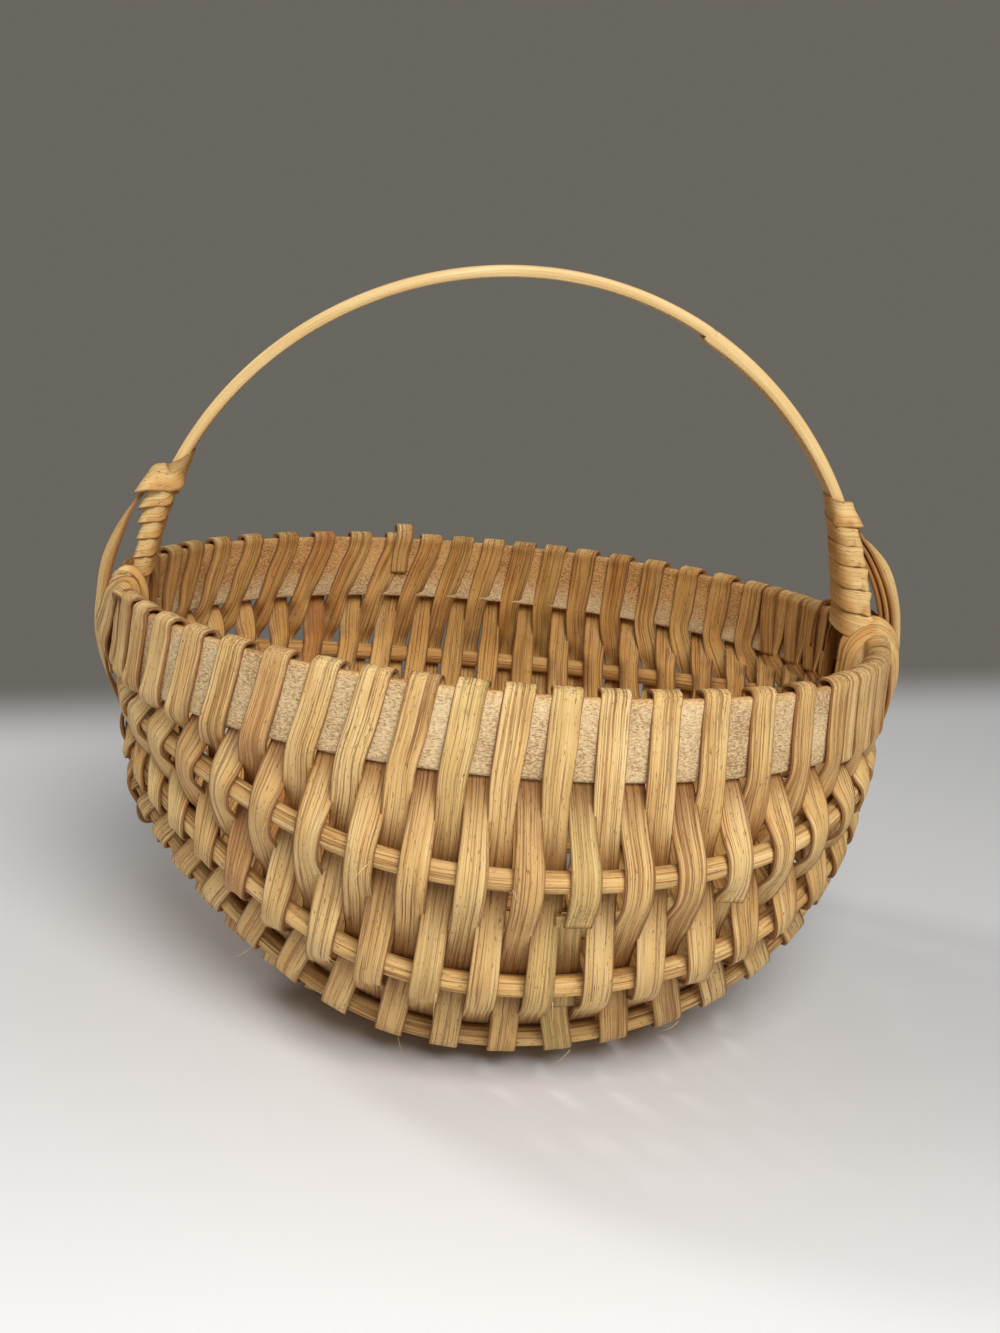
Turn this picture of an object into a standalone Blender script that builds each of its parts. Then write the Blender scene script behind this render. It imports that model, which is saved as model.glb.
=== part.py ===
# Ribbed "buttocks" basket. A rim hoop and a handle hoop stand square to each other, round ribs
# fan out from ear to ear, and flat reed weavers run from rim to rim, over and under the ribs.
# X runs from ear to ear, Y from front to back, and Z = 0 is the face that the basket rests on.
# Lengths below are in millimetres and angles in degrees; meshes are built in metres.

import math

import bmesh
import bpy
from mathutils import Vector

MM = 0.001

# Rim hoop: a flat strip bent round, its outer face at the top edge
RIM_HALF_X = 86.4
RIM_HALF_Y = 84.0
RIM_HEIGHT = 15.9
RIM_THICK = 2.2
RIM_FLARE = 2.1  # how far the bottom edge leans out at the front and the back

# Handle hoop: a round arch above the rim, and a squashed keel below it
HOOP_WIDTH = 8.0
HOOP_THICK = 2.6
ARCH_RISE = 75.5  # top of the arch above the rim
ARCH_SWAY = 1.5  # how far the top of the arch leans to the right
KEEL_DEPTH = 79.5  # middle of the keel strip below the rim
KEEL_FULLNESS = 2.4  # 2 is an ellipse, more is squarer
LAP_STEP = 0.9  # extra thickness where the strip's scarfed ends lap
LAP_FROM, LAP_TO = 62.0, 28.0  # place of the lap on the arch, from the right ear
LAP_CUT = 0.4  # angle over which its cut end steps down

# Ribs: round reed, whittled towards the ears
RIB_RADIUS = 2.15
RIB_TIP_RADIUS = 1.2
RIB_TAPER = 2.7  # radius gained from the tip on, per share of the half length
RIB_END_DEPTH = 19.5  # first rib's tip below the rim
RIB_END_STEP = 6.0
RIB_SLACK = 0.14  # share by which the ribs in front bow less on the left than on the right
REST_DEPTH = 84.3  # depth of the lowest ribs, where the basket rests
REST_FLAT = 0.2  # share of their half length that is straight

# Each rank of the fan in order from the rim: its distance in front of the keel plane and its
# depth below the rim at mid length, then how the rows of weaving spread along it: the angle
# that they reach either side of the middle, how much they open out in the middle, and the
# angle by which they drift to the left there
RANKS = (
    {"out": RIM_HALF_Y, "depth": RIM_HEIGHT, "spread": 75.0, "open": 0.96, "drift": 2.8},
    {"out": RIM_HALF_Y + 5.0, "depth": 34.0, "spread": 81.0, "open": 0.955, "drift": 1.9},
    {"out": RIM_HALF_Y - 7.0, "depth": 60.0, "spread": 78.0, "open": 1.06, "drift": 2.0},
    {"out": RIM_HALF_Y - 26.0, "depth": 79.5, "spread": 83.5, "open": 1.08, "drift": 1.6},
    {"out": RIM_HALF_Y - 53.0, "depth": REST_DEPTH, "spread": 85.4, "open": 1.10, "drift": 0.4},
    {"out": 0.0, "depth": KEEL_DEPTH, "spread": 73.5, "open": 1.25, "drift": 0.0},
)
KEEL = len(RANKS) - 1
RIBS = range(1, KEEL)

# Weaving: flat reed
REED_WIDTH = 6.2
REED_THICK = 1.2
FIT = 0.3  # gap between pieces that touch
ROW_GAP = 1.1  # gap between neighbouring rows midway between ribs
ROW_OVERHANG = 0.1  # how much wider than its share of a rib a row may be as it crosses it
ROWS = 44  # number of the last row; an even number keeps both halves alike
MIDDLE = ROWS // 2
FIRST_FULL = 8  # rows nearer an ear turn back before they reach the keel
INNER_SLACK = 1.5  # how far reed inside a rib keeps off it, as a share of the rib's bow there
TURN_SLACK = 0.9  # how much looser a weaver lies where it turns back round a rib
TURN_NARROWING = 0.9
TURN_STEPS = 6
TURN_MARGIN = 0.15  # where in the step between two rows a turn starts and ends
BRIDGE = RIB_RADIUS - 0.55  # half length of a weaver's straight stretch over a rib
BRIDGE_SHARE = 0.3  # and the most that it may be, as a share of the way to the next rib
LEAST_BEND, MOST_BEND = 4, 60  # angles by which a row may bend under the rim's bottom edge

# How a row crosses the rim on its way to the next row: the share of that way, its lean (0 is
# outside, 90 on top and 180 inside) and its depth as a share of the rim's height. Without a
# depth it is at the rim's corner.
OVER_RIM = (
    (0.25, 0, 0.55),
    (0.50, 20, None),
    (0.57, 70, None),
    (0.65, 110, None),
    (0.72, 160, None),
    (0.88, 180, 0.55),
)
SPLICES = (11, 15, 19)  # odd rows, left of the middle, where one weaver ends and the next begins

# Ear lashing: the strand that binds the rim beside the handle
LASH_WIDTH = 4.0
LASH_FIRST = 5.2  # angle of the turn nearest the handle
LASH_STEP = 3.0
LASH_TURNS = 2  # on each side of the handle
LASH_TURN = (  # shares of one turn, with the lean there; 270 is underneath
    (0.00, 340),
    (0.10, 20),
    (0.30, 70),
    (0.36, 110),
    (0.46, 160),
    (0.60, 200),
    (0.80, 250),
    (0.88, 290),
)

# Handle wrap and the brace that it holds
WRAP_WIDTH = 3.5
WRAP_PITCH = 4.0
WRAP_TURNS = {"left": 5.5, "right": 6.5}
WRAP_SECTIONS = 8  # in each turn
WRAP_LIFT_STEPS = 3  # sections over which the wrap rises on to the brace
WRAP_START = 2.6  # middle of the first turn above the rim
WRAP_OVER_BRACE = 1.5  # turns at the top that also pass over the brace
WRAP_CORNER = 0.5  # how far the wrap's corners are cut off
BRACE_WIDTH = 5.0
BRACE_BOW = 6.2  # how far the brace's middle bows out past the rim
BRACE_BOW_DEPTH = 8.0
BRACE_FOOT_DEPTH = 30.0
BRACE_SLACK = 0.2  # how much further than it must the brace's foot stays off the keel
BRACE_FOOT_LEAN = Vector((3.4, 0, 8.0))  # the brace's pull as it reaches its foot
BRACE_PULLS = 12.0, 13.0, 11.0  # at the top, and above and below where it bows out most

# Straight stretches that stand for each curve
RIM_STEPS, HOOP_STEPS, RIB_STEPS, BRACE_STEPS = 80, 90, 24, 12

REED_OFFSET = FIT + REED_THICK / 2
RIM_TOP = REST_DEPTH + RIB_RADIUS + FIT + REED_THICK  # height of the rim above the rest face
HOOP_RADIUS = RIM_HALF_X - RIM_THICK - FIT  # outer face of the handle hoop
ARCH_CENTRE = HOOP_RADIUS - ARCH_RISE  # depth of the arch's centre below the rim
KEEL_HALF_X = HOOP_RADIUS - HOOP_THICK / 2
INWARD = Vector((0, 0, RIM_TOP - ARCH_CENTRE))

REEDS = {
    "straw": (0.68, 0.47, 0.235),
    "honey": (0.60, 0.39, 0.175),
    "pale": (0.70, 0.53, 0.33),
    "amber": (0.66, 0.43, 0.20),
}


def empty_scene():
    for thing in list(bpy.data.objects):
        bpy.data.objects.remove(thing, do_unlink=True)


def reed_material(name, colour, roughness):
    material = bpy.data.materials.new(name)
    material.use_nodes = True
    shader = material.node_tree.nodes["Principled BSDF"]
    shader.inputs["Base Color"].default_value = (*colour, 1.0)
    shader.inputs["Roughness"].default_value = roughness
    shader.inputs["Metallic"].default_value = 0.0
    material.diffuse_color = (*colour, 1.0)
    return material


def mix(start, end, share):
    return start + (end - start) * share


def at(x, y, depth):
    return Vector((x, y, RIM_TOP - depth))


# The frame: where the hoops and the ribs run


def rim_outward(turn):
    """The way square out of the rim."""
    return Vector((math.cos(turn) / RIM_HALF_X, -math.sin(turn) / RIM_HALF_Y, 0)).normalized()


def rim_point(turn, depth, inset):
    """Point on the front half of the rim: turn from the right ear, depth below the top edge."""
    edge = at(RIM_HALF_X * math.cos(turn), -RIM_HALF_Y * math.sin(turn), depth)
    flare = RIM_FLARE * max(depth, 0.0) / RIM_HEIGHT * math.sin(turn) ** 2
    return edge + rim_outward(turn) * (flare - inset)


def keel_reach(turn):
    """Distance of the keel strip's middle from the arch's centre, for an angle from level."""
    across = abs(math.cos(turn)) / KEEL_HALF_X
    down = abs(math.sin(turn)) / (KEEL_DEPTH - ARCH_CENTRE)
    return (across**KEEL_FULLNESS + down**KEEL_FULLNESS) ** (-1 / KEEL_FULLNESS)


def keel_half_width(depth):
    """Half width of the keel, or of the arch above it, at a depth below the rim."""
    if depth < ARCH_CENTRE:
        return math.sqrt(KEEL_HALF_X**2 - (ARCH_CENTRE - depth) ** 2)
    share = (depth - ARCH_CENTRE) / (KEEL_DEPTH - ARCH_CENTRE)
    return KEEL_HALF_X * (1 - share**KEEL_FULLNESS) ** (1 / KEEL_FULLNESS)


def rank_point(rank, turn):
    """Point on the middle line of a rank, in front of the keel plane."""
    if rank == 0:
        return rim_point(turn, RIM_HEIGHT, RIM_THICK / 2)
    if rank == KEEL:
        reach = keel_reach(turn)
        return at(reach * math.cos(turn), 0, ARCH_CENTRE + reach * math.sin(turn))
    tip_depth = RIB_END_DEPTH + (rank - 1) * RIB_END_STEP
    tip_out = HOOP_WIDTH / 2 + FIT + RIB_TIP_RADIUS
    flat = REST_FLAT if RANKS[rank]["depth"] == REST_DEPTH else 0
    aside = max(abs(math.cos(turn)) - flat, 0) / (1 - flat)
    rise = math.sqrt(1 - aside**2)
    if math.cos(turn) < 0:
        rise -= RIB_SLACK * aside * (2 * aside * rise) ** 2
    out = mix(tip_out, RANKS[rank]["out"], rise)
    depth = mix(tip_depth, RANKS[rank]["depth"], rise)
    return at(keel_half_width(tip_depth) * math.cos(turn), -out, depth)


def rib_radius(turn):
    return min(RIB_RADIUS, RIB_TIP_RADIUS + RIB_TAPER * math.sin(turn))


# Rows of weaving. Row 0 is at the left ear. Even rows pass outside the rim and odd rows inside.


def row_turn(rank, row):
    share = (row - MIDDLE) / MIDDLE
    opened = RANKS[rank]["open"]
    swing = RANKS[rank]["spread"] * (opened * share + (1 - opened) * share**3)
    return math.radians(90 - swing + RANKS[rank]["drift"] * (1 - share**2))


def outside(row, rank):
    return 1 if (row + rank) % 2 == 0 else -1


def row_point(rank, row):
    return rank_point(rank, row_turn(rank, row))


def row_frame(rank, row):
    """Directions at a crossing: along the row, across it and out of the basket."""
    here = row_point(rank, row)
    before = row_point(rank - 1, row)
    if rank == KEEL:
        after = Vector((before.x, -before.y, before.z))
    else:
        after = row_point(rank + 1, row)
    along = (after - before).normalized()
    rib_way = (row_point(rank, row + 0.5) - row_point(rank, row - 0.5)).normalized()
    if abs(rib_way.z) < 1e-6:
        along.z = 0
        along.normalize()
    out = along.cross(rib_way).normalized()
    across = out.cross(along)
    room = min((here - before).length, (after - here).length)
    return here, along, across, out, room


def facing(row):
    """Even rows show the reed's outer face outside, and odd rows show its other face."""
    return 1 if row % 2 == 0 else -1


def crossing(rank, row):
    """The two sections where a row bridges a rib or the keel, in order from the rim."""
    here, along, across, out, room = row_frame(rank, row)
    if rank == KEEL:
        clear, half = HOOP_THICK / 2, HOOP_WIDTH / 2 + REED_OFFSET
    else:
        clear, half = rib_radius(row_turn(rank, row)), min(BRIDGE, BRIDGE_SHARE * room)
    left, right = row_point(rank, row - 0.5), row_point(rank, row + 0.5)
    step = (right - left).dot(across)
    if outside(row, rank) < 0:
        clear += (here - (left + right) / 2).length * INNER_SLACK
    middle = here + out * outside(row, rank) * (clear + REED_OFFSET)
    width = min(REED_WIDTH, step + ROW_OVERHANG) / 2
    return [(middle + along * reach, across, out * facing(row), width) for reach in (-half, half)]


def between(rank, row):
    """The narrower section midway to the next rank, where neighbouring rows change sides."""
    start = rim_end(row) if rank == 0 else crossing(rank, row)[1]
    end = crossing(rank + 1, row)[0]
    along = (end[0] - start[0]).normalized()
    before, after = (
        (row_point(rank, row + side) + row_point(rank + 1, row + side)) / 2 for side in (-0.5, 0.5)
    )
    out = along.cross(after - before).normalized()
    across = out.cross(along)
    width = min(REED_WIDTH, (after - before).dot(across) - ROW_GAP) / 2
    return (start[0] + end[0]) / 2, across, out * facing(row), width


def down_front(row, last):
    """Sections of the front half of a row, from below the rim down to a rank."""
    path = []
    for rank in range(1, last + 1):
        path += [between(rank - 1, row)] + crossing(rank, row)
    return path


def to_keel(row):
    return down_front(row, KEEL - 1) + [between(KEEL - 1, row)]


def against_rim(turn, lean, depth=None):
    """Where a strip lies on the rim: lean is 0 outside, 90 on top, 180 inside and 270 underneath.
    Without a depth it is at the rim's corner there."""
    angle = math.radians(lean)
    inset = (0 if math.cos(angle) > 0 else RIM_THICK) - REED_OFFSET * math.cos(angle)
    if depth is None:
        depth = (0 if lean <= 180 else RIM_HEIGHT) - REED_OFFSET * math.sin(angle)
    outward = rim_outward(turn)
    normal = outward * math.cos(angle) + Vector((0, 0, math.sin(angle)))
    return rim_point(turn, depth, inset), Vector((0, 0, 1)).cross(outward), normal


def leaving_lean(row, side):
    """How a row bends under the rim's bottom edge, from outside (0) or inside (180)."""
    turn = row_turn(0, row)
    corner = rim_point(turn, RIM_HEIGHT, RIM_THICK if side else 0)
    reach = crossing(1, row)[0][0] - corner
    lean = math.degrees(math.atan2(reach.dot(rim_outward(turn)), -reach.z))
    if side:
        return 180 + min(max(lean, LEAST_BEND), MOST_BEND)
    return 360 - min(max(-lean, LEAST_BEND), MOST_BEND)


def rim_end(row):
    """The section at the rim's bottom edge, outside on an even row and inside on an odd one."""
    side = 0 if row % 2 == 0 else 180
    width = min(REED_WIDTH, rim_step(row) + ROW_OVERHANG)
    return (*against_rim(row_turn(0, row), leaving_lean(row, side)), width / 2)


def rim_step(row):
    return (rim_point(row_turn(0, row), 0, 0) - rim_point(row_turn(0, row + 1), 0, 0)).length


def over_rim(row):
    """From the outside of the rim on an even row, over the top, to the inside on the next row."""
    left, right = row_turn(0, row), row_turn(0, row + 1)
    width = min(REED_WIDTH, 2 * (rim_step(row) - ROW_GAP))
    path = [rim_end(row)]
    for share, lean, level in OVER_RIM:
        depth = None if level is None else level * RIM_HEIGHT
        path.append((*against_rim(mix(left, right, share), lean, depth), width / 2))
    return path + [rim_end(row + 1)]


def round_rib(rank, row):
    """A row turns back round a rib and comes up again as the next row."""
    side = outside(row, rank)
    sections = []
    for step in range(TURN_STEPS + 1):
        share = step / TURN_STEPS
        place = row + mix(TURN_MARGIN, 1 - TURN_MARGIN, share)
        here, _, _, out, _ = row_frame(rank, place)
        rib_way = row_point(rank, place + 0.5) - row_point(rank, place - 0.5)
        down = rib_way.normalized().cross(out).normalized()
        angle = math.pi * share
        arm = out * side * math.cos(angle) - down * math.sin(angle)
        reach = rib_radius(row_turn(rank, place)) + REED_OFFSET + TURN_SLACK
        half_width = min(REED_WIDTH, rib_way.length - ROW_GAP) * TURN_NARROWING / 2
        normal = arm * side * facing(row)
        sections.append((here + arm * reach, rib_way.normalized(), normal, half_width))
    return [between(rank - 1, row)] + sections + [between(rank - 1, row + 1)]


def turned(sections):
    """The same sections on the other half of the basket, half a turn round."""
    return [
        (Vector((-c.x, -c.y, c.z)), Vector((a.x, a.y, -a.z)), Vector((-n.x, -n.y, n.z)), w)
        for c, a, n, w in sections
    ]


def up_back(row):
    """Sections of the back half of a row, from the keel up to the rim."""
    return turned(to_keel(ROWS - row))[::-1]


def whole_row(row):
    """A row from rim to rim: odd rows run to the back and even rows to the front."""
    path = to_keel(row) + crossing(KEEL, row) + up_back(row)
    return path if row % 2 else path[::-1]


def cut_row(row):
    """An odd row in two parts, butted under the keel."""
    before, after = crossing(KEEL, row)
    middle = (before[0] + after[0]) / 2
    along = (after[0] - before[0]).normalized()
    ends = [(middle + along * step, *before[1:]) for step in (-FIT, FIT)]
    return to_keel(row) + [before, ends[0]], [ends[1], after] + up_back(row)


def over_back_rim(row):
    return turned(over_rim(ROWS - 1 - row))[::-1]


def rows_between(first, last):
    """Rows from one splice up to the row before the last one."""
    path = cut_row(first)[1]
    for row in range(first + 1, last):
        path += over_back_rim(row - 1) if row % 2 == 0 else over_rim(row - 1)
        path += whole_row(row)
    return path


def spliced_rows(first, last):
    return rows_between(first, last) + over_rim(last - 1) + cut_row(last)[0]


def last_rows(first):
    """The last weaver on the right: whole rows, then short rows up to the right ear."""
    row = ROWS - FIRST_FULL + 1
    path = rows_between(first, row)
    for rank in reversed(RIBS):
        path += over_rim(row - 1) + down_front(row, rank - 1)
        if rank == 1:
            break
        path += round_rib(rank, row) + down_front(row + 1, rank - 1)[::-1]
        row += 2
    return path + [between(0, row)] + crossing(1, row)


def short_rows():
    """The short weaver beside the left ear at the front, from the ear inwards."""
    path = down_front(0, 1)[::-1] + over_rim(0)
    row = 1
    for rank in list(RIBS)[1:]:
        path += down_front(row, rank - 1) + round_rib(rank, row)
        path += down_front(row + 1, rank - 1)[::-1] + over_rim(row + 1)
        row += 2
    return path + down_front(row, KEEL - 1)


# Meshes


def add_object(name, bm, material, smooth=40.0):
    bmesh.ops.recalc_face_normals(bm, faces=bm.faces)
    mesh = bpy.data.meshes.new(name)
    bm.to_mesh(mesh)
    bm.free()
    mesh.materials.append(material)
    mesh.shade_smooth()
    mesh.set_sharp_from_angle(angle=math.radians(smooth))
    thing = bpy.data.objects.new(name, mesh)
    bpy.context.scene.collection.objects.link(thing)
    return thing


def add_turned(name, source):
    """The same piece half a turn round, sharing its mesh."""
    thing = bpy.data.objects.new(name, source.data)
    thing.rotation_euler.z = math.pi
    bpy.context.scene.collection.objects.link(thing)
    return thing


def strip(name, sections, material, thick=REED_THICK, closed=False):
    """A flat strip lofted through sections: centre, across, normal, half width[, half thickness]."""
    bm = bmesh.new()
    rings = []
    for section in sections:
        centre, across, normal, half_width = section[:4]
        half_thick = section[4] if len(section) > 4 else thick / 2
        side, up = across * half_width, normal * half_thick
        corners = (centre + side + up, centre - side + up, centre - side - up, centre + side - up)
        rings.append([bm.verts.new(corner * MM) for corner in corners])
    for here, there in zip(rings, rings[1:] + (rings[:1] if closed else [])):
        for i in range(4):
            bm.faces.new((here[i], here[i - 1], there[i - 1], there[i]))
    if not closed:
        bm.faces.new(rings[0])
        bm.faces.new(rings[-1][::-1])
    return add_object(name, bm, material)


def make_rim(material):
    sections = []
    for i in range(RIM_STEPS):
        turn = math.tau * i / RIM_STEPS
        upper, lower = (rim_point(turn, depth, RIM_THICK / 2) for depth in (0, RIM_HEIGHT))
        across = (upper - lower).normalized()
        outward = rim_outward(turn)
        normal = (outward - across * outward.dot(across)).normalized()
        sections.append(((upper + lower) / 2, across, normal, (upper - lower).length / 2))
    return strip("rim_hoop", sections, material, RIM_THICK, closed=True)


def lap_thickness(angle):
    """The scarfed lap is thick at its cut end and thins away down the arch."""
    if not LAP_TO <= angle <= LAP_FROM:
        return 0.0
    return LAP_STEP * (angle - LAP_TO) / (LAP_FROM - LAP_TO)


def hoop_line(turn):
    """Middle of the handle hoop's strip: the arch for the upper half turn, the keel below."""
    reach = KEEL_HALF_X if math.sin(turn) >= 0 else keel_reach(turn)
    sway = ARCH_SWAY * max(math.sin(turn), 0) ** 4
    return INWARD + Vector((reach * math.cos(turn) + sway, 0, reach * math.sin(turn)))


def make_handle(material):
    angles = [360 * i / HOOP_STEPS for i in range(HOOP_STEPS)]
    clear = [a for a in angles if abs(a - LAP_FROM) > 2 * LAP_CUT]
    angles = sorted(clear + [LAP_FROM, LAP_FROM + LAP_CUT])
    sections = []
    for angle in angles:
        turn = math.radians(angle)
        along = hoop_line(turn + 0.001) - hoop_line(turn - 0.001)
        normal = Vector((0, 1, 0)).cross(along).normalized()
        extra = lap_thickness(angle)
        centre = hoop_line(turn) - normal * extra / 2
        half_thick = (HOOP_THICK + extra) / 2
        sections.append((centre, Vector((0, 1, 0)), normal, HOOP_WIDTH / 2, half_thick))
    return strip("handle_hoop", sections, material, closed=True)


def make_rib(rank, material):
    """A round rib as a bevelled curve whose radius follows the whittling."""
    curve = bpy.data.curves.new(f"rib_front_{rank}", "CURVE")
    curve.dimensions = "3D"
    curve.bevel_depth = RIB_RADIUS * MM
    curve.bevel_resolution = 2
    curve.use_fill_caps = True
    spline = curve.splines.new("POLY")
    spline.points.add(RIB_STEPS)
    for i, point in enumerate(spline.points):
        turn = math.pi * i / RIB_STEPS
        point.co = (*(rank_point(rank, turn) * MM), 1)
        point.radius = rib_radius(turn) / RIB_RADIUS
    curve.materials.append(material)
    thing = bpy.data.objects.new(f"rib_front_{rank}", curve)
    bpy.context.scene.collection.objects.link(thing)
    add_turned(f"rib_back_{rank}", thing)


# The ears: lashing, handle wrap and brace


def ear_lashing(side):
    """Turns round the rim in front of the handle, one long crossing outside, then turns behind."""
    stops = []
    for i in range(2 * LASH_TURNS + 1):
        start = LASH_FIRST + (LASH_TURNS - i) * LASH_STEP
        if i > LASH_TURNS:
            start = -LASH_FIRST - (i - LASH_TURNS - 1) * LASH_STEP
        if i == LASH_TURNS:
            stops.append((start, LASH_TURN[0][1], None))
            stops += [(start * k, 0, RIM_HEIGHT * (1 + k) / 2) for k in (0.6, 0.2, -0.2, -0.6)]
        else:
            turn = LASH_TURN[1:] if i == LASH_TURNS + 1 else LASH_TURN
            stops += [(start - share * LASH_STEP, lean, None) for share, lean in turn]
    sections = [
        (*against_rim(math.radians(degrees), lean, depth), LASH_WIDTH / 2)
        for degrees, lean, depth in stops
    ]
    return mirrored(sections) if side == "left" else sections


def mirrored(sections):
    flip = Vector((-1, 1, 1))
    return [(c * flip, a * flip, n * flip, *rest) for c, a, n, *rest in sections]


def arch_frame(height):
    """Middle of the handle strip at a height above the rim, its way up and its way out."""
    turn = math.asin((height + ARCH_CENTRE) / (HOOP_RADIUS - HOOP_THICK / 2))
    out = Vector((math.cos(turn), 0, math.sin(turn)))
    up = Vector((-math.sin(turn), 0, math.cos(turn)))
    return INWARD + out * (HOOP_RADIUS - HOOP_THICK / 2), up, out


def handle_wrap(side):
    """Flat reed wound up the handle from the rim."""
    long_half = HOOP_WIDTH / 2 + REED_OFFSET
    steps = round(WRAP_TURNS[side] * WRAP_SECTIONS)
    under_brace = steps - round(WRAP_OVER_BRACE * WRAP_SECTIONS)
    corner = WRAP_CORNER
    inner = -HOOP_THICK / 2 - REED_OFFSET
    sections = []
    for i in range(steps + 1):
        height = WRAP_START + WRAP_PITCH * i / WRAP_SECTIONS
        centre, up, out = arch_frame(height)
        lifted = min(max(i - under_brace + 2, 0) / WRAP_LIFT_STEPS, 1)
        outer = -inner + lifted * 2 * (REED_THICK + FIT)
        places = (
            (inner, -long_half + corner, 180),
            (inner + corner, -long_half, 250),
            (outer - corner, -long_half, 290),
            (outer, -long_half + corner, 360),
            (outer, long_half - corner, 360),
            (outer - corner, long_half, 430),
            (inner + corner, long_half, 470),
            (inner, long_half - corner, 540),
        )
        away, aside, lean = places[i % WRAP_SECTIONS]
        angle = math.radians(lean)
        normal = out * math.cos(angle) + Vector((0, math.sin(angle), 0))
        sections.append((centre + out * away + Vector((0, aside, 0)), up, normal, WRAP_WIDTH / 2))
    return mirrored(sections) if side == "left" else sections


def least_gap(sections):
    """Least gap between a winding's turns, measured from edge to edge at like places."""
    gaps = []
    for lower, upper in zip(sections, sections[WRAP_SECTIONS:]):
        rise = (upper[0] - lower[0]).dot(lower[1])
        gaps.append(rise - lower[3] - upper[3])
    return min(gaps)


def ear_brace(side):
    """The strip held under the top of the wrap, bowed out past the rim and back to the keel."""
    top = WRAP_START + WRAP_PITCH * WRAP_TURNS[side] - WRAP_WIDTH / 2
    held = WRAP_PITCH * WRAP_OVER_BRACE
    layer = REED_THICK + FIT
    seat = HOOP_THICK / 2 + REED_OFFSET
    points = []
    for share in (0.0, 0.5, 1.0):
        centre, _, out = arch_frame(top - held * share)
        points.append(centre + out * (seat + layer))
    foot = at(keel_half_width(BRACE_FOOT_DEPTH) + seat + BRACE_SLACK, 0, BRACE_FOOT_DEPTH)
    bow = at(RIM_HALF_X + BRACE_BOW, 0, BRACE_BOW_DEPTH)
    top_pull, upper_pull, lower_pull = BRACE_PULLS
    start, leave = points[-1], (points[-1] - points[-2]).normalized()
    for i in range(1, BRACE_STEPS + 1):
        share = i / BRACE_STEPS
        if share <= 0.5:
            a, b, c, d = start, start + leave * top_pull, bow + Vector((0, 0, upper_pull)), bow
            s = share * 2
        else:
            a, b, c, d = bow, bow - Vector((0, 0, lower_pull)), foot + BRACE_FOOT_LEAN, foot
            s = share * 2 - 1
        r = 1 - s
        points.append(a * r**3 + b * (3 * r * r * s) + c * (3 * r * s * s) + d * s**3)
    sections = []
    for i, point in enumerate(points):
        along = points[min(i + 1, len(points) - 1)] - points[max(i - 1, 0)]
        normal = along.cross(Vector((0, 1, 0))).normalized()
        sections.append((point, Vector((0, 1, 0)), normal, BRACE_WIDTH / 2))
    return mirrored(sections) if side == "left" else sections


def make_weavers(material):
    """Weavers from left to right. Those left of the middle are the right ones, half a turn round."""
    cuts = sorted(SPLICES + tuple(ROWS - row for row in SPLICES))
    spans = list(zip(cuts, cuts[1:]))
    paths = [spliced_rows(first, last) for first, last in spans[len(spans) // 2:]]
    paths.append(last_rows(cuts[-1]))
    count = 2 * len(paths) + 1
    for i, path in enumerate(paths):
        number = count // 2 + 1 + i
        piece = strip(f"weaver_{number}", path, material)
        if i:
            add_turned(f"weaver_{count + 1 - number}", piece)
    ear = strip("weaver_1", short_rows(), material)
    add_turned(f"weaver_{count}", ear)


def main():
    empty_scene()
    straw, honey, pale, amber = (
        reed_material(name, colour, 0.62) for name, colour in REEDS.items()
    )
    make_rim(pale)
    make_handle(amber)
    for rank in RIBS:
        make_rib(rank, honey)
    make_weavers(straw)
    for side in ("left", "right"):
        wrap = handle_wrap(side)
        print(f"handle_wrap_{side}: least gap between turns {least_gap(wrap):.2f} mm")
        strip(f"handle_wrap_{side}", wrap, straw)
        strip(f"ear_brace_{side}", ear_brace(side), straw)
        strip(f"ear_lashing_{side}", ear_lashing(side), straw)


main()
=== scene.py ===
from math import asin, atan2, copysign, cos, degrees, hypot, pi, radians, sin, sqrt, tau

import bpy
import numpy as np
from mathutils import Matrix, Vector


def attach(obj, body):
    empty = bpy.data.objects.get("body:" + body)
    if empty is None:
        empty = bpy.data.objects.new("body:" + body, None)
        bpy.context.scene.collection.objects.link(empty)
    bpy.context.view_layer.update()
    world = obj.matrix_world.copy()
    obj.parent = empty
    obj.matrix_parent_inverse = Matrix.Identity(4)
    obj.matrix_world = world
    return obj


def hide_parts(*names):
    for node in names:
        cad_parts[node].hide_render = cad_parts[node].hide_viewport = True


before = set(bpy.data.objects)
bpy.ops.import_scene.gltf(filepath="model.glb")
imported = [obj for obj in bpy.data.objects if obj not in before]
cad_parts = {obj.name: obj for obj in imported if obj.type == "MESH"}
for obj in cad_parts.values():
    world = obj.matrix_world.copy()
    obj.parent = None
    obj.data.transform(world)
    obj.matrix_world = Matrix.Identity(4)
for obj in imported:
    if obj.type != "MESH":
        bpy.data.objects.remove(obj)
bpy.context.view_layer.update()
print("frame loaded:", len(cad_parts), "nodes")

# Sizes below are in millimetres, as in the part's source
metre = 0.001
backward = Vector((0, 1, 0))
upward = Vector((0, 0, 1))
rng = np.random.default_rng(31)

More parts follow.
